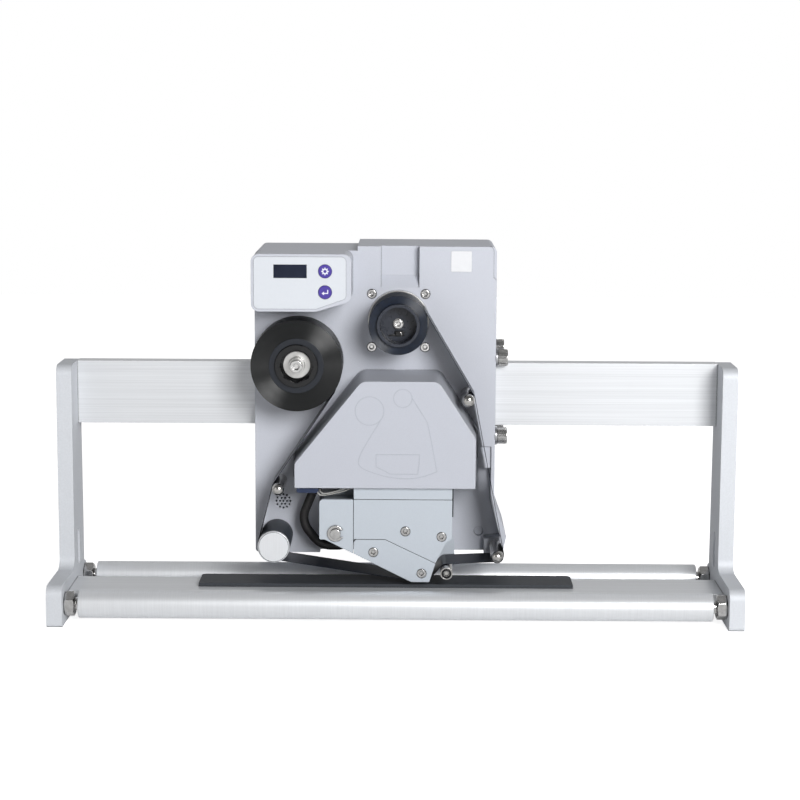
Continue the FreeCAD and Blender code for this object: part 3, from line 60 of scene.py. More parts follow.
# Camera, floor and light. The machine is seen from the front and a little from above, on a white
# sweep. A soft lamp at the upper right throws the shadows down to the left, and the room is
# bright in front of the machine, grey behind it and darker overhead.
CAMERA_PLACE = (0.0085, -1.627, 0.4082)
CAMERA_PITCH = math.radians(8.489)
CAMERA_ROLL = math.radians(0.301)
CAMERA_YAW = math.radians(0.217)
CAMERA_LENS = 93.41
lens = bpy.data.cameras.new("camera")
lens.lens = CAMERA_LENS
camera = placed("camera", lens)
camera.location = CAMERA_PLACE
camera.rotation_mode = "QUATERNION"
camera.rotation_quaternion = (Quaternion((0, 0, 1), CAMERA_YAW)
                              @ Quaternion((1, 0, 0), math.pi / 2 - CAMERA_PITCH)
                              @ Quaternion((0, 0, 1), CAMERA_ROLL))
bpy.context.scene.camera = camera
bpy.context.scene.view_settings.view_transform = "Standard"

SWEEP_WHITE = 0.86
SWEEP_GLOW = 0.76
SWEEP_BOUNCE = 0.05
SWEEP_SIZE = 5
SWEEP_MATT = 0.9
bpy.ops.mesh.primitive_plane_add(size=SWEEP_SIZE, location=(0, 0, 0))
floor = bpy.context.object
floor.name = "floor"
sweep = bpy.data.materials.new("white_sweep")
sweep.use_nodes = True
paper = sweep.node_tree.nodes["Principled BSDF"]
paper.inputs["Base Color"].default_value = (SWEEP_WHITE, SWEEP_WHITE, SWEEP_WHITE, 1)
paper.inputs["Roughness"].default_value = SWEEP_MATT
paper.inputs["Specular IOR Level"].default_value = 0.0
paper.inputs["Emission Color"].default_value = (1, 1, 1, 1)
path = sweep.node_tree.nodes.new("ShaderNodeLightPath")
glow = sweep.node_tree.nodes.new("ShaderNodeMath")
glow.operation = "MULTIPLY_ADD"
glow.inputs[1].default_value = SWEEP_GLOW
glow.inputs[2].default_value = SWEEP_BOUNCE
sweep.node_tree.links.new(path.outputs["Is Camera Ray"], glow.inputs[0])
sweep.node_tree.links.new(glow.outputs[0], paper.inputs["Emission Strength"])
floor.data.materials.append(sweep)

FRONT_STOPS = ((0.0, 0.98), (0.4, 0.7), (0.62, 0.36), (0.85, 0.3), (1.0, 0.26))
HEIGHT_STOPS = ((0.0, 1.0), (0.55, 1.0), (0.68, 0.75), (0.82, 0.5), (1.0, 0.45))
ROOM_LEVEL = 0.8
world = bpy.data.worlds.new("studio")
bpy.context.scene.world = world
world.use_nodes = True
room = world.node_tree
where = room.nodes.new("ShaderNodeTexCoord")


def room_ramp(direction, stops):
    """Grey levels of the room along one direction, from its far end to its near end."""
    along = room.nodes.new("ShaderNodeVectorMath")
    along.operation = "DOT_PRODUCT"
    along.inputs[1].default_value = direction
    share = room.nodes.new("ShaderNodeMapRange")
    share.inputs["From Min"].default_value = -1
    ramp = room.nodes.new("ShaderNodeValToRGB")
    for _ in stops[2:]:
        ramp.color_ramp.elements.new(0.5)
    for stop, (place, level) in zip(ramp.color_ramp.elements, stops):
        stop.position = place
        stop.color = (level, level, level, 1)
    room.links.new(where.outputs["Generated"], along.inputs[0])
    room.links.new(along.outputs["Value"], share.inputs["Value"])
    room.links.new(share.outputs["Result"], ramp.inputs["Fac"])
    return ramp.outputs["Color"]


walls = room.nodes.new("ShaderNodeMix")
walls.data_type = "RGBA"
walls.blend_type = "MULTIPLY"
walls.inputs["Factor"].default_value = 1
room.links.new(room_ramp((0, -1, 0), FRONT_STOPS), walls.inputs["A"])
room.links.new(room_ramp((0, 0, 1), HEIGHT_STOPS), walls.inputs["B"])
lit_room = room.nodes["Background"]
lit_room.inputs["Strength"].default_value = ROOM_LEVEL
room.links.new(walls.outputs["Result"], lit_room.inputs["Color"])
backdrop = room.nodes.new("ShaderNodeBackground")
backdrop.inputs["Color"].default_value = (1, 1, 1, 1)
seen = room.nodes.new("ShaderNodeLightPath")
either = room.nodes.new("ShaderNodeMixShader")
room.links.new(seen.outputs["Is Camera Ray"], either.inputs["Fac"])
room.links.new(lit_room.outputs["Background"], either.inputs[1])
room.links.new(backdrop.outputs["Background"], either.inputs[2])
room.links.new(either.outputs["Shader"], room.nodes["World Output"].inputs["Surface"])

LAMP_SIZE = 1.2
LAMP_AIM = (0, 0, 0.15)


def lamp(name, place, watts):
    """A soft square lamp that points at the middle of the machine."""
    data = bpy.data.lights.new(name, "AREA")
    data.size = LAMP_SIZE
    data.energy = watts
    light = placed(name, data)
    light.location = place
    light.rotation_mode = "QUATERNION"
    light.rotation_quaternion = (Vector(LAMP_AIM) - Vector(place)).to_track_quat("-Z", "Y")


lamp("key_lamp", (1.12, -2.55, 1.16), 80)
lamp("fill_lamp", (-1.5, -1.4, 0.6), 3)


# Side plates: milled aluminium, bead-blasted and clear anodised, with broken edges. They stand
# on their feet and carry everything else between them.
def shade(red, green, blue):
    """A colour as it is read off a print, 0 to 255, in linear light."""
    return tuple(((part / 255 + 0.055) / 1.055) ** 2.4 for part in (red, green, blue))


GRAIN_DETAIL = 5
TINT_STOPS = (0.3, 0.7)
GLOSS_SWING = 0.15
RAY_SAMPLES = 6
# Painted shade: how far ambient occlusion reaches, and how dark it paints the colour in gaps and
# creases.
GAP_SHADE = 0.0012
GAP_CLOSED = 0.35
GAP_OPEN = 0.9
GAP_DARK = 0.15


def finish(name, colour, roughness, metallic=0.0, grain=(300, 300, 300), spread=0.05,
           pit=0.00002, edge=0.0004):
    """A surface whose colour and gloss follow a stretched grain, whose edges are broken, and
    whose colour is darkened in gaps and creases as painted shade.
    """
    material = bpy.data.materials.new(name)
    material.use_nodes = True
    tree = material.node_tree
    shader = tree.nodes["Principled BSDF"]
    shader.inputs["Metallic"].default_value = metallic
    where = tree.nodes.new("ShaderNodeTexCoord")
    stretch = tree.nodes.new("ShaderNodeMapping")
    stretch.inputs["Scale"].default_value = grain
    noise = tree.nodes.new("ShaderNodeTexNoise")
    noise.inputs["Scale"].default_value = 1
    noise.inputs["Detail"].default_value = GRAIN_DETAIL
    tint = tree.nodes.new("ShaderNodeValToRGB")
    for stop, place, share in zip(tint.color_ramp.elements, TINT_STOPS, (1 - spread, 1 + spread)):
        stop.position = place
        stop.color = (*(min(part * share, 1) for part in colour), 1)
    gloss = tree.nodes.new("ShaderNodeMapRange")
    gloss.inputs["To Min"].default_value = roughness * (1 - GLOSS_SWING)
    gloss.inputs["To Max"].default_value = roughness * (1 + GLOSS_SWING)
    rim = tree.nodes.new("ShaderNodeBevel")
    rim.samples = RAY_SAMPLES
    rim.inputs["Radius"].default_value = edge
    bump = tree.nodes.new("ShaderNodeBump")
    bump.inputs["Distance"].default_value = pit
    link = tree.links.new
    link(where.outputs["Object"], stretch.inputs["Vector"])
    link(stretch.outputs["Vector"], noise.inputs["Vector"])
    link(noise.outputs["Fac"], tint.inputs["Fac"])
    link(noise.outputs["Fac"], gloss.inputs["Value"])
    link(noise.outputs["Fac"], bump.inputs["Height"])
    # Painted shade: ambient occlusion darkens the colour towards black in gaps, creases and
    # corners.
    painted_gap_shade = tree.nodes.new("ShaderNodeAmbientOcclusion")
    painted_gap_shade.samples = RAY_SAMPLES
    painted_gap_shade.inputs["Distance"].default_value = GAP_SHADE
    open_share = tree.nodes.new("ShaderNodeMapRange")
    open_share.inputs["From Min"].default_value = GAP_CLOSED
    open_share.inputs["From Max"].default_value = GAP_OPEN
    open_share.inputs["To Min"].default_value = GAP_DARK
    shaded = tree.nodes.new("ShaderNodeMix")
    shaded.data_type = "RGBA"
    shaded.inputs["A"].default_value = (0, 0, 0, 1)
    link(painted_gap_shade.outputs["AO"], open_share.inputs["Value"])
    link(open_share.outputs["Result"], shaded.inputs["Factor"])
    link(tint.outputs["Color"], shaded.inputs["B"])
    link(shaded.outputs["Result"], shader.inputs["Base Color"])
    link(gloss.outputs["Result"], shader.inputs["Roughness"])
    link(rim.outputs["Normal"], bump.inputs["Normal"])
    link(bump.outputs["Normal"], shader.inputs["Normal"])
    return material


def dress(material, *names):
    """Give CAD pieces a finish."""
    for name in names:
        for slot in nodes[name].material_slots:
            slot.material = material


blasted = finish("blasted_aluminium", shade(208, 211, 216), 0.62, 0.25, (900, 900, 900), 0.04)
dress(blasted, "left_side_plate", "right_side_plate")

# Crossbar and base plate: drawn flat aluminium with the grain along them, bolted between the
# side plates with zinc-plated socket cap screws.
drawn = finish("drawn_aluminium", shade(217, 219, 222), 0.38, 0.25, (6, 900, 900), 0.07, 0.00003)
dress(drawn, "crossbar", "base_plate")
zinc = finish("zinc_plated_steel", shade(196, 197, 200), 0.28, 1.0, (500, 500, 500), 0.1)
dress(zinc, "frame_screws", "side_washers", "back_plate_screws", "clamp_screws")

# Idler rollers: turned and anodised aluminium tubes on ball bearings. Their steel axles are
# threaded where they carry the hexagon nuts, and the thread is cut as a helix.
MM = 0.001
THREAD_PITCH = 1.5
THREAD_BEAD = 0.4
THREAD_SINK = 0.25
THREAD_STEPS = 20
NUT_LENGTH = 8.0
CORD_ROUNDNESS = 3
CORD_STEPS = 6


def strands(name, lines, radius, material, body, closed=False, order=3):
    """One piece of round cords through lists of points in millimetres; order 2 is straight."""
    drawing = bpy.data.curves.new(name, "CURVE")
    drawing.dimensions = "3D"
    drawing.bevel_depth = radius * MM
    drawing.bevel_resolution = CORD_ROUNDNESS
    drawing.use_fill_caps = True
    drawing.resolution_u = CORD_STEPS
    for line in lines:
        spline = drawing.splines.new("NURBS")
        spline.points.add(len(line) - 1)
        for point, place in zip(spline.points, line):
            point.co = (*(part * MM for part in place), 1)
        spline.use_cyclic_u = closed
        spline.use_endpoint_u = not closed
        spline.order_u = order
    drawing.materials.append(material)
    piece = placed(name, drawing)
    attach(piece, body)
    return piece


NUT_STEPS = 12
NUT_FACE_SHARE = 0.95
NUT_CHAMFER = math.tan(math.radians(30))


def nuts(name, node, ends, material, body):
    """Hexagon nuts with chamfered corners on an axle along X, one flat of each to the front."""
    low, high = (Vector(corner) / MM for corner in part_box(node))
    middle = (low + high) / 2
    flat = (high.z - low.z) / 2
    face = flat * NUT_FACE_SHARE
    mesh = bmesh.new()
    for start, end in ends:
        rings = []
        for place, side in ((start, 1), (end, -1)):
            rim, land = [], []
            for step in range(6 * NUT_STEPS):
                angle = math.tau * step / (6 * NUT_STEPS)
                across = (angle + math.pi / 6) % (math.pi / 3) - math.pi / 6
                reach = flat / math.cos(across)
                back = side * (reach - face) * NUT_CHAMFER
                turn = Vector((0, math.cos(angle), math.sin(angle)))
                centre = Vector((0, middle.y, middle.z))
                rim.append(mesh.verts.new((centre + turn * reach + Vector((place + back, 0, 0)))
                                          * MM))
                land.append(mesh.verts.new((centre + turn * face + Vector((place, 0, 0))) * MM))
            rings += [land, rim] if side > 0 else [rim, land]
        for inner, outer in zip(rings, rings[1:]):
            for step in range(len(inner)):
                mesh.faces.new((inner[step], inner[step - 1], outer[step - 1], outer[step]))
        mesh.faces.new(rings[0])
        mesh.faces.new(reversed(rings[-1]))
    bmesh.ops.recalc_face_normals(mesh, faces=mesh.faces)
    shape = bpy.data.meshes.new(name)
    mesh.to_mesh(shape)
    mesh.free()
    shape.materials.append(material)
    piece = placed(name, shape)
    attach(piece, body)
    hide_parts(node)


turned = finish("turned_aluminium", shade(229, 231, 234), 0.38, 0.5, (1200, 40, 40), 0.03)
dress(turned, "front_roller", "rear_roller")
steel = finish("bright_steel", shade(212, 211, 210), 0.14, 1.0, (300, 300, 300), 0.14,
               0.00004, 0.0009)
dress(steel, "front_axle", "rear_axle", "front_bearings", "rear_bearings")
for axle in ("front_axle", "rear_axle"):
    low, high = (Vector(corner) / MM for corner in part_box(axle))
    middle = (low + high) / 2
    thread_radius = (high.z - low.z) / 2 - THREAD_SINK
    nut_low, nut_high = (Vector(corner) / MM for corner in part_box(axle + "_nuts"))
    roller_low, roller_high = (Vector(corner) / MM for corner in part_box(axle[:-4] + "roller"))
    threads = []
    for start, end in ((low.x, roller_low.x), (roller_high.x, high.x)):
        steps = round((end - start) / THREAD_PITCH * THREAD_STEPS)
        threads.append([(start + THREAD_PITCH * step / THREAD_STEPS,
                         middle.y + thread_radius * math.cos(math.tau * step / THREAD_STEPS),
                         middle.z + thread_radius * math.sin(math.tau * step / THREAD_STEPS))
                        for step in range(steps)])
    strands(axle + "_threads", threads, THREAD_BEAD, steel, "frame")
    nuts(axle + "_hexagons", axle + "_nuts",
         ((nut_low.x, nut_low.x + NUT_LENGTH), (nut_high.x - NUT_LENGTH, nut_high.x)), steel,
         "frame")

# Platen pad: a moulded strip of black silicone rubber, glued to the base plate. The film that is
# printed lies on it, and the print head presses down on both.
rubber = finish("pad_rubber", shade(48, 52, 58), 0.6, 0.0, (700, 700, 700), 0.2, 0.00004)
dress(rubber, "platen_pad")

# Housing and its back plate: die-cast shells in a fine-textured cool grey powder coat. A blank
# white label sticks to the upper right corner of the face.
FACE = -1.5
LABEL = (50.0, 275.6)
LABEL_SIDE = 16.2
LABEL_CORNER = 0.8
LABEL_THICKNESS = 0.12
INLAY_EDGE = 0.03
INLAY_ROUNDNESS = 2


def rounded(centre, width, height, radius, steps=6):
    """Outline of a rectangle with round corners, in millimetres."""
    outline = []
    for turn, (across, up) in enumerate(((1, 1), (-1, 1), (-1, -1), (1, -1))):
        for step in range(steps + 1):
            angle = math.pi / 2 * (turn + step / steps)
            outline.append((centre[0] + across * (width / 2 - radius) + radius * math.cos(angle),
                            centre[1] + up * (height / 2 - radius) + radius * math.sin(angle)))
    return outline


def circle(centre, radius, steps=64):
    """Outline of a circle, in millimetres."""
    return [(centre[0] + radius * math.cos(math.tau * step / steps),
             centre[1] + radius * math.sin(math.tau * step / steps)) for step in range(steps)]


def inlay(name, outlines, front, thickness, material, body, edge=INLAY_EDGE):
    """A flat piece with softened edges, cut to outlines in X and Z; inner outlines are holes."""
    drawing = bpy.data.curves.new(name, "CURVE")
    drawing.dimensions = "2D"
    drawing.fill_mode = "BOTH"
    drawing.extrude = (thickness / 2 - edge) * MM
    drawing.bevel_depth = edge * MM
    drawing.bevel_resolution = INLAY_ROUNDNESS
    drawing.offset = -edge * MM
    for outline in outlines:
        spline = drawing.splines.new("POLY")
        spline.points.add(len(outline) - 1)
        for point, (across, up) in zip(spline.points, outline):
            point.co = (across * MM, up * MM, 0, 1)
        spline.use_cyclic_u = True
    drawing.materials.append(material)
    piece = placed(name, drawing)
    piece.location = (0, (front + thickness / 2) * MM, 0)
    piece.rotation_euler = (math.pi / 2, 0, 0)
    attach(piece, body)


powder = finish("grey_powder_coat", shade(192, 195, 204), 0.48, 0.0, (1500, 1500, 1500), 0.03,
                0.00003, 0.0008)
dress(powder, "housing", "back_plate")
paper_label = finish("blank_label", shade(222, 223, 226), 0.5, 0.0, (200, 200, 200), 0.02)
inlay("label", [rounded(LABEL, LABEL_SIDE, LABEL_SIDE, LABEL_CORNER)], FACE - LABEL_THICKNESS,
      LABEL_THICKNESS, paper_label, "printer")

# Cap screws in the housing's side: hardened steel socket screws on zinc-plated washers. Their
# heads are knurled, so that they can be started with the fingers.
KNURL_RIBS = 36
KNURL_BEAD = 0.28
KNURL_START = 79.9
KNURL_END = 86.8
SCREW_HEAD_RADIUS = 6.5
SIDE_SCREWS = ((5.5, 199.0), (5.5, 136.5), (73.5, 199.0), (73.5, 136.5))
ribs = []
for across, up in SIDE_SCREWS:
    for depth, rise in circle((across, up), SCREW_HEAD_RADIUS - KNURL_BEAD / 2, KNURL_RIBS):
        ribs.append([(KNURL_START, depth, rise), (KNURL_END, depth, rise)])
strands("side_screw_knurls", ribs, KNURL_BEAD, steel, "printer")

# Control panel: a moulded hood with a printed film over its face, a tinted display window and
# two round push buttons with white signs, a gear and a bent arrow, printed on them.
BUTTON_FACE = -40.3
GEAR_CENTRE = (-55.5, 270.6)
ARROW_CENTRE = (-55.5, 254.5)
GEAR_TEETH = 8
GEAR_ROOT = 2.15
GEAR_TIP = 3.0
GEAR_HOLE = 1.2
GEAR_TOOTH = ((-0.3, GEAR_ROOT), (-0.18, GEAR_TIP), (0.18, GEAR_TIP), (0.3, GEAR_ROOT))
SIGN_THICKNESS = 0.12
dress(powder, "control_panel")
overlay = finish("panel_film", shade(208, 212, 218), 0.4, 0.0, (300, 300, 300), 0.01, 0.00001)
dress(overlay, "panel_overlay")
tinted = finish("tinted_window", shade(30, 36, 54), 0.1, 0.0, (60, 60, 60), 0.3, 0.0, 0.0002)
dress(tinted, "display_window")
purple = finish("purple_button", shade(72, 56, 150), 0.35, 0.0, (400, 400, 400), 0.06, 0.00001)
dress(purple, "gear_button", "enter_button")
white_print = finish("white_print", shade(228, 228, 240), 0.5, 0.0, (400, 400, 400), 0.02)
gear = []
for tooth in range(GEAR_TEETH):
    for turn, reach in GEAR_TOOTH:
        angle = math.tau * (tooth + turn) / GEAR_TEETH
        gear.append((GEAR_CENTRE[0] + reach * math.cos(angle),
                     GEAR_CENTRE[1] + reach * math.sin(angle)))
inlay("gear_sign", [gear, circle(GEAR_CENTRE, GEAR_HOLE, 32)], BUTTON_FACE - SIGN_THICKNESS,
      SIGN_THICKNESS, white_print, "gear_button")
ARROW = ((2.5, 1.9), (1.7, 1.9), (1.7, -0.4), (-0.7, -0.4), (-0.7, 0.7), (-2.7, -0.8),
         (-0.7, -2.3), (-0.7, -1.2), (2.5, -1.2))
arrow = [(ARROW_CENTRE[0] + across, ARROW_CENTRE[1] + up) for across, up in ARROW]
inlay("enter_sign", [arrow], BUTTON_FACE - SIGN_THICKNESS, SIGN_THICKNESS, white_print,
      "enter_button")

# Ribbon cover: a moulded hood in the housing's grey, coloured a little darker than the housing as
# painted shade.
# The threading path of the ribbon stands on its face as fine raised lines: the two reels, the run
# on each side and the print head. The lines are coloured darker than the cover as painted shade.
COVER_FACE = -48.5
LINE_BEAD = 0.32
LINE_SINK = 0.2
SUPPLY_SIGN = circle((-20.9, 163.8), 11.1, 40)
TAKE_UP_SIGN = circle((4.7, 173.8), 7.1, 32)
RIGHT_RUN = ((11.9, 173.8), (21.6, 158.9), (24.8, 152.7), (31.3, 116.7))
LEFT_RUN = ((-10.5, 159.6), (-25.4, 135.4), (-29.2, 126.4), (-29.6, 122.3), (-26.0, 118.0),
            (-6.0, 111.5), (18.0, 110.5), (31.3, 116.7))
HEAD_SIGN = ((-15.7, 129.9), (17.8, 129.9), (17.5, 122.3), (16.5, 114.6), (-4.7, 114.6),
             (-15.7, 120.2))
# Painted shade: the cover's grey is a darker copy of the housing's powder coat.
hood = finish("cover_grey_painted_shade", shade(182, 185, 194), 0.48, 0.0, (1500, 1500, 1500), 0.03,
              0.00003, 0.0008)
dress(hood, "ribbon_cover")
# Painted shade: the raised lines are a darker copy of the cover's grey.
moulded_line = finish("raised_line_painted_shade", shade(172, 176, 186), 0.5, 0.0, (600, 600, 600), 0.03)
for name, outline, closed, order in (("supply_sign", SUPPLY_SIGN, True, 3),
                                     ("take_up_sign", TAKE_UP_SIGN, True, 3),
                                     ("right_run_sign", RIGHT_RUN, False, 3),
                                     ("left_run_sign", LEFT_RUN, False, 3),
                                     ("head_sign", HEAD_SIGN, True, 2)):
    strands(name, [[(across, COVER_FACE + LINE_SINK, up) for across, up in outline]], LINE_BEAD,
            moulded_line, "printer", closed, order)

# Dark blue strip with round ends under the cover's lower left edge, where the cover's shadow
# falls: painted shade.
# It is doubtful: the foot of a watermark's letter lies in the same place in the photograph.
STRIP_CENTRE = (-69.0, 101.0)
STRIP_WIDTH = 17.0
STRIP_HEIGHT = 4.3
STRIP_FRONT = -46.0
STRIP_DEPTH = 20.0
STRIP_CORNER = 2.1
STRIP_EDGE = 0.3
# Painted shade: a dark blue strip stands where the cover's shadow falls.
strip_shade_finish = finish("painted_shade_blue", shade(34, 46, 74), 0.8, 0.0, (900, 900, 900), 0.25, 0.0001)
inlay("painted_shade_strip", [rounded(STRIP_CENTRE, STRIP_WIDTH, STRIP_HEIGHT, STRIP_CORNER)], STRIP_FRONT,
      STRIP_DEPTH, strip_shade_finish, "printer", STRIP_EDGE)

# Supply reel: ribbon wound on a core, held by an octagonal expanding hub on a turned spindle.
# The edges of the turns make fine rings, so the roll shines in two sectors. The core stands a
# little proud of the ribbon.
SUPPLY_AXIS = (-77.8, 197.0)
TAKE_UP_AXIS = (0.8, 228.8)
ROLL_FACE = -37.0
CORE_OUTER = 21.3
CORE_BORE = 16.7
CORE_PROUD = 0.35
CORE_THICKNESS = 1.5
CORE_EDGE = 0.15
TURN_SCALE = 45
TURN_WOBBLE = 1.5
TURN_DEPTH = 0.00004
ROLL_SHEEN = 1.0
ROLL_GLOSS = 0.6
ACROSS_THE_TURNS = 0.25


def wound(name, axis, colour, roughness):
    """Edges of a wound ribbon: fine rings round an axis, glossy across them."""
    material = finish(name, colour, roughness, 0.0, (250, 60, 250), 0.35, 0.00002)
    tree = material.node_tree
    shader = tree.nodes["Principled BSDF"]
    shader.inputs["Anisotropic"].default_value = ROLL_SHEEN
    shader.inputs["Anisotropic Rotation"].default_value = ACROSS_THE_TURNS
    shader.inputs["Specular IOR Level"].default_value = ROLL_GLOSS
    around = tree.nodes.new("ShaderNodeTangent")
    around.direction_type = "RADIAL"
    around.axis = "Y"
    tree.links.new(around.outputs["Tangent"], shader.inputs["Tangent"])
    where = tree.nodes.new("ShaderNodeTexCoord")
    centre = tree.nodes.new("ShaderNodeMapping")
    centre.inputs["Location"].default_value = (-axis[0] * MM, 0, -axis[1] * MM)
    turns = tree.nodes.new("ShaderNodeTexWave")
    turns.wave_type = "RINGS"
    turns.rings_direction = "Y"
    turns.inputs["Scale"].default_value = TURN_SCALE
    turns.inputs["Distortion"].default_value = TURN_WOBBLE
    rings = tree.nodes.new("ShaderNodeBump")
    rings.inputs["Distance"].default_value = TURN_DEPTH
    under = shader.inputs["Normal"].links[0].from_socket
    tree.links.new(where.outputs["Object"], centre.inputs["Vector"])
    tree.links.new(centre.outputs["Vector"], turns.inputs["Vector"])
    tree.links.new(turns.outputs["Fac"], rings.inputs["Height"])
    tree.links.new(under, rings.inputs["Normal"])
    tree.links.new(rings.outputs["Normal"], shader.inputs["Normal"])
    return material


dress(wound("wound_supply", SUPPLY_AXIS, shade(3, 6, 8), 0.3), "supply_ribbon")
dress(wound("wound_take_up", TAKE_UP_AXIS, shade(22, 30, 44), 0.45), "take_up_ribbon")
core = finish("core_sleeve", shade(14, 21, 32), 0.4, 0.0, (400, 400, 400), 0.15)
inlay("supply_core", [circle(SUPPLY_AXIS, CORE_OUTER), circle(SUPPLY_AXIS, CORE_BORE)],
      ROLL_FACE - CORE_PROUD, CORE_THICKNESS, core, "supply_reel", CORE_EDGE)
moulded = finish("black_hub", shade(10, 11, 14), 0.18, 0.0, (300, 300, 300), 0.2)
dress(moulded, "supply_hub")
# Painted highlight and reflection: the take-up cup is a lighter grey copy of the supply hub's
# black plastic.
cup = finish("black_cup_painted_reflection", shade(42, 46, 56), 0.28, 0.0, (300, 300, 300), 0.2)
dress(cup, "take_up_hub")
satin = finish("satin_metal", shade(222, 221, 219), 0.3, 0.9, (300, 900, 300), 0.06)
dress(satin, "supply_spindle", "take_up_spindle")
dress(turned, "drive_roller_core")
dress(steel, "supply_screw", "take_up_screw", "take_up_screws", "side_screws")

# Take-up clip: a moulded black clip in the cup's floor, with a bright spring leaf. It holds the
# ribbon's end while the first turns are wound.
CUP_FLOOR = -23.5
CLIP_CENTRE = (1.9, 221.3)
CLIP_WIDTH = 6.6
CLIP_HEIGHT = 3.9
CLIP_CORNER = 0.6
CLIP_EDGE = 0.2
CLIP_PROUD = 2.2
CLIP_SHADOW_THICKNESS = 1.0
CLIP_SHADOW_EDGE = 0.1
LEAF_THICKNESS = 0.4
LEAF_PROUD = 2.5
LEAF_EDGE = 0.08
CLIP_SHADOW = ((-7.0, 219.2), (-1.3, 219.5), (-1.3, 220.5), (-6.6, 219.9))
LEAF = ((2.2, 223.0), (3.0, 223.2), (4.0, 219.6), (3.2, 219.4))
inlay("take_up_clip", [rounded(CLIP_CENTRE, CLIP_WIDTH, CLIP_HEIGHT, CLIP_CORNER)],
      CUP_FLOOR - CLIP_PROUD, CLIP_PROUD, moulded, "take_up_reel", CLIP_EDGE)
# Painted shadow: a thin black sheet runs left from the clip where the clip's shadow falls on the
# cup's floor.
inlay("take_up_clip_shadow", [CLIP_SHADOW], CUP_FLOOR - CLIP_SHADOW_THICKNESS, CLIP_SHADOW_THICKNESS, moulded,
      "take_up_reel", CLIP_SHADOW_EDGE)
inlay("take_up_leaf", [LEAF], CUP_FLOOR - LEAF_PROUD, LEAF_THICKNESS, steel, "take_up_reel",
      LEAF_EDGE)

# Drive roller and guide rollers: the drive roller grips the ribbon with a rubber sleeve, and
# the ball-nosed guides are turned from stainless bar and polished. A thin dark ring on the face
# of the drive roller's cap stands for a fine turned groove, its dark colour painted shade.
DRIVE_AXIS = (-95.0, 57.0)
CAP_FACE = -50.95
CAP_GROOVE = 11.6
GROOVE_BEAD = 0.2
sleeve = finish("sleeve_rubber", shade(52, 58, 66), 0.5, 0.0, (900, 900, 900), 0.3, 0.00005)
dress(sleeve, "drive_roller_sleeve")
# Painted shade: the groove ring is a darker copy of the cap's metal, for the shade in the groove.
groove = finish("groove_painted_shade", shade(96, 99, 106), 0.35, 0.8, (400, 400, 400), 0.1)
strands("drive_cap_groove",
        [[(across, CAP_FACE, up) for across, up in circle(DRIVE_AXIS, CAP_GROOVE)]],
        GROOVE_BEAD, groove, "drive_roller", True)
polished = finish("polished_steel", shade(200, 198, 195), 0.2, 1.0, (200, 600, 200), 0.1)
dress(polished, "left_guide_roller", "right_guide_roller", "lower_guide_roller", "guide_pins",
      "peel_roller", "peel_axle")

# Peel roller: a polished steel roller on its own axle, from which the used ribbon peels off the
# film. A black ring round the screw in its end is painted shade of the gap round the screw head.
PEEL_AXIS = (39.4, 35.8)
PEEL_END = -47.2
SHADE_RING_OUTER = 3.5
SHADE_RING_BORE = 2.3
SHADE_RING_THICKNESS = 0.25
SHADE_RING_EDGE = 0.06
# Painted shade: a black ring round the end screw, for the shaded gap round its head.
inlay("peel_screw_shade_ring", [circle(PEEL_AXIS, SHADE_RING_OUTER), circle(PEEL_AXIS, SHADE_RING_BORE)],
      PEEL_END - SHADE_RING_THICKNESS, SHADE_RING_THICKNESS, moulded, "peel_roller", SHADE_RING_EDGE)

# Ribbon: a polyester film coated in dull black ink, which runs from reel to reel round the
# guides. The first run that ends on the head is in two parts that meet under its pivot pin.
FILM_GLOSS = 0.2
USED_GLOSS = 0.05
PIVOT_X = -47.2
# Piece, node, side of the pivot, first and second body, and where the bend starts and ends.
FILM_RUNS = (
    ("ribbon_feed", "ribbon_lower", -1, "printer", "head_carriage", -90, PIVOT_X),
    ("ribbon_under_head", "ribbon_lower", 1, "head_carriage", "print_head", PIVOT_X, 12),
    ("ribbon_peel", "ribbon_head", 0, "print_head", "head_carriage", 27, 35),
    ("ribbon_lift", "ribbon_return", 0, "head_carriage", "printer", 40, 79))


def film(name, node, side, first, second, start, end, material):
    """A run of ribbon, left (-1) or right (1) of the pivot, or whole (0); the two bodies it runs
    between are not used.
    """
    mesh = bmesh.new()
    mesh.from_mesh(nodes[node].data)
    if side:
        cut = bmesh.ops.bisect_plane(
            mesh, geom=mesh.verts[:] + mesh.edges[:] + mesh.faces[:],
            plane_co=(PIVOT_X * MM, 0, 0), plane_no=(1, 0, 0),
            clear_outer=side < 0, clear_inner=side > 0)
        bmesh.ops.holes_fill(mesh, edges=[part for part in cut["geom_cut"]
                                          if isinstance(part, bmesh.types.BMEdge)])
    shape = bpy.data.meshes.new(name)
    mesh.to_mesh(shape)
    mesh.free()
    shape.materials.clear()
    shape.materials.append(material)
    piece = placed(name, shape)
    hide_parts(node)
    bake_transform(piece)


ribbon = finish("ribbon_film", shade(18, 22, 32), 0.3, 0.0, (40, 400, 40), 0.3, 0.00002, 0.0)
dress(ribbon, "ribbon_left")
used = finish("used_ribbon", shade(26, 30, 40), 0.3, 0.0, (30, 300, 30), 0.25, 0.00003, 0.0)
dress(used, "ribbon_right")
for coated, level in ((ribbon, FILM_GLOSS), (used, USED_GLOSS)):
    film_shader = coated.node_tree.nodes["Principled BSDF"]
    film_shader.inputs["Specular IOR Level"].default_value = level
for run in FILM_RUNS:
    film(*run, used if run[0] == "ribbon_lift" else ribbon)
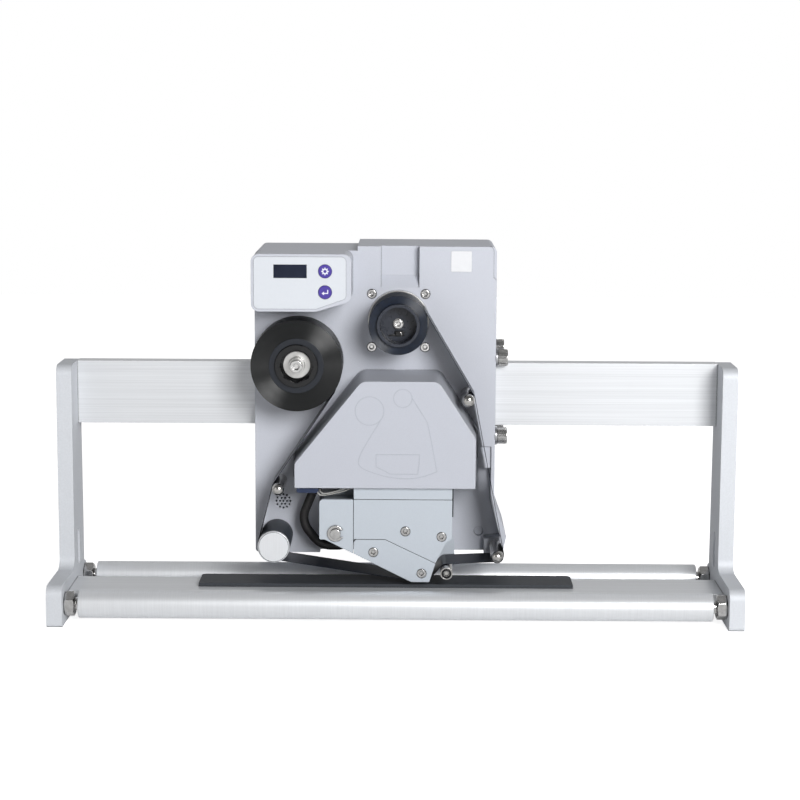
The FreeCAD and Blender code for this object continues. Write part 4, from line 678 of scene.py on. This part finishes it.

# Print head: plates, lever and carriage in a grey paint, a little cooler than the housing,
# turning on a steel pivot pin. Thin black rubber strips stand at the right edge of the plates,
# where the gap beside them is in shade: painted shade.
painted = finish("head_paint", shade(182, 189, 197), 0.45, 0.0, (1200, 1200, 1200), 0.02, 0.00002,
                 0.0006)
dress(painted, "head_carriage", "arm_plate", "main_plate", "lower_plate", "head_lever")
ceramic = finish("head_element", shade(120, 120, 122), 0.35, 0.3, (300, 300, 300), 0.1)
dress(ceramic, "thermal_head")
dress(steel, "head_screws", "pivot_pin", "retaining_ring", "head_rail")
# Painted shade: thin black rubber strips fill the shaded gap at the right edge of the head's
# plates.
GAP_STRIP_FRONT = -44.0
GAP_STRIP_DEPTH = 14.0
GAP_STRIP_WIDTH = 1.0
GAP_STRIP_X = 44.0
GAP_STRIP_CORNER = 0.3
GAP_STRIP_EDGE = 0.15
# Piece, lower and upper end, and body.
GAP_STRIPS = (("carriage_gap_shade", 94.3, 102.4, "head_carriage"),
           ("head_gap_shade", 80.0, 93.2, "print_head"))
for name, low, high, body in GAP_STRIPS:
    inlay(name,
          [rounded((GAP_STRIP_X, (low + high) / 2), GAP_STRIP_WIDTH, high - low, GAP_STRIP_CORNER)],
          GAP_STRIP_FRONT, GAP_STRIP_DEPTH, rubber, body, GAP_STRIP_EDGE)

# Head wires: two thin pale leads that come down from under the cover and turn to the head. They
# are doubtful too: their lines in the photograph lie under the next letter of the watermark.
WIRE_RADIUS = 0.55
LEADS = (((-61.8, -30, 105), (-62.2, -36, 101), (-61.4, -38, 97), (-58.5, -38, 95.4),
          (-53, -38, 96), (-46, -38, 97.8), (-40, -37.5, 99), (-36, -36, 100.5)),
         ((-59.6, -31, 105), (-60.2, -36.6, 100.6), (-58.8, -38.8, 97.6), (-55, -38.8, 96.9),
          (-48, -38.8, 98.6), (-41, -38, 100.6), (-36, -36, 102.5)))
pale = finish("pale_lead", shade(176, 176, 172), 0.45, 0.0, (600, 600, 600), 0.1)


def flexing(name, drawn_piece):
    """Turn a drawn curve into a mesh piece in its place."""
    bpy.context.view_layer.update()
    shape = bpy.data.meshes.new_from_object(
        drawn_piece.evaluated_get(bpy.context.evaluated_depsgraph_get()))
    bpy.data.objects.remove(drawn_piece)
    piece = placed(name, shape)
    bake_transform(piece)


flexing("head_leads", strands("leads_line", LEADS, WIRE_RADIUS, pale, "printer"))

# Head cable: a bundle of wires in a black woven sleeve, from a hole in the housing to the head
# lever, with a loop that takes up the head's travel.
woven = finish("woven_sleeve", shade(32, 30, 31), 0.55, 0.0, (900, 900, 900), 0.5, 0.0003)
sleeve_shape = nodes["head_cable"].data.copy()
sleeve_shape.materials.clear()
sleeve_shape.materials.append(woven)
cable = placed("woven_head_cable", sleeve_shape)
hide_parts("head_cable")
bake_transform(cable)
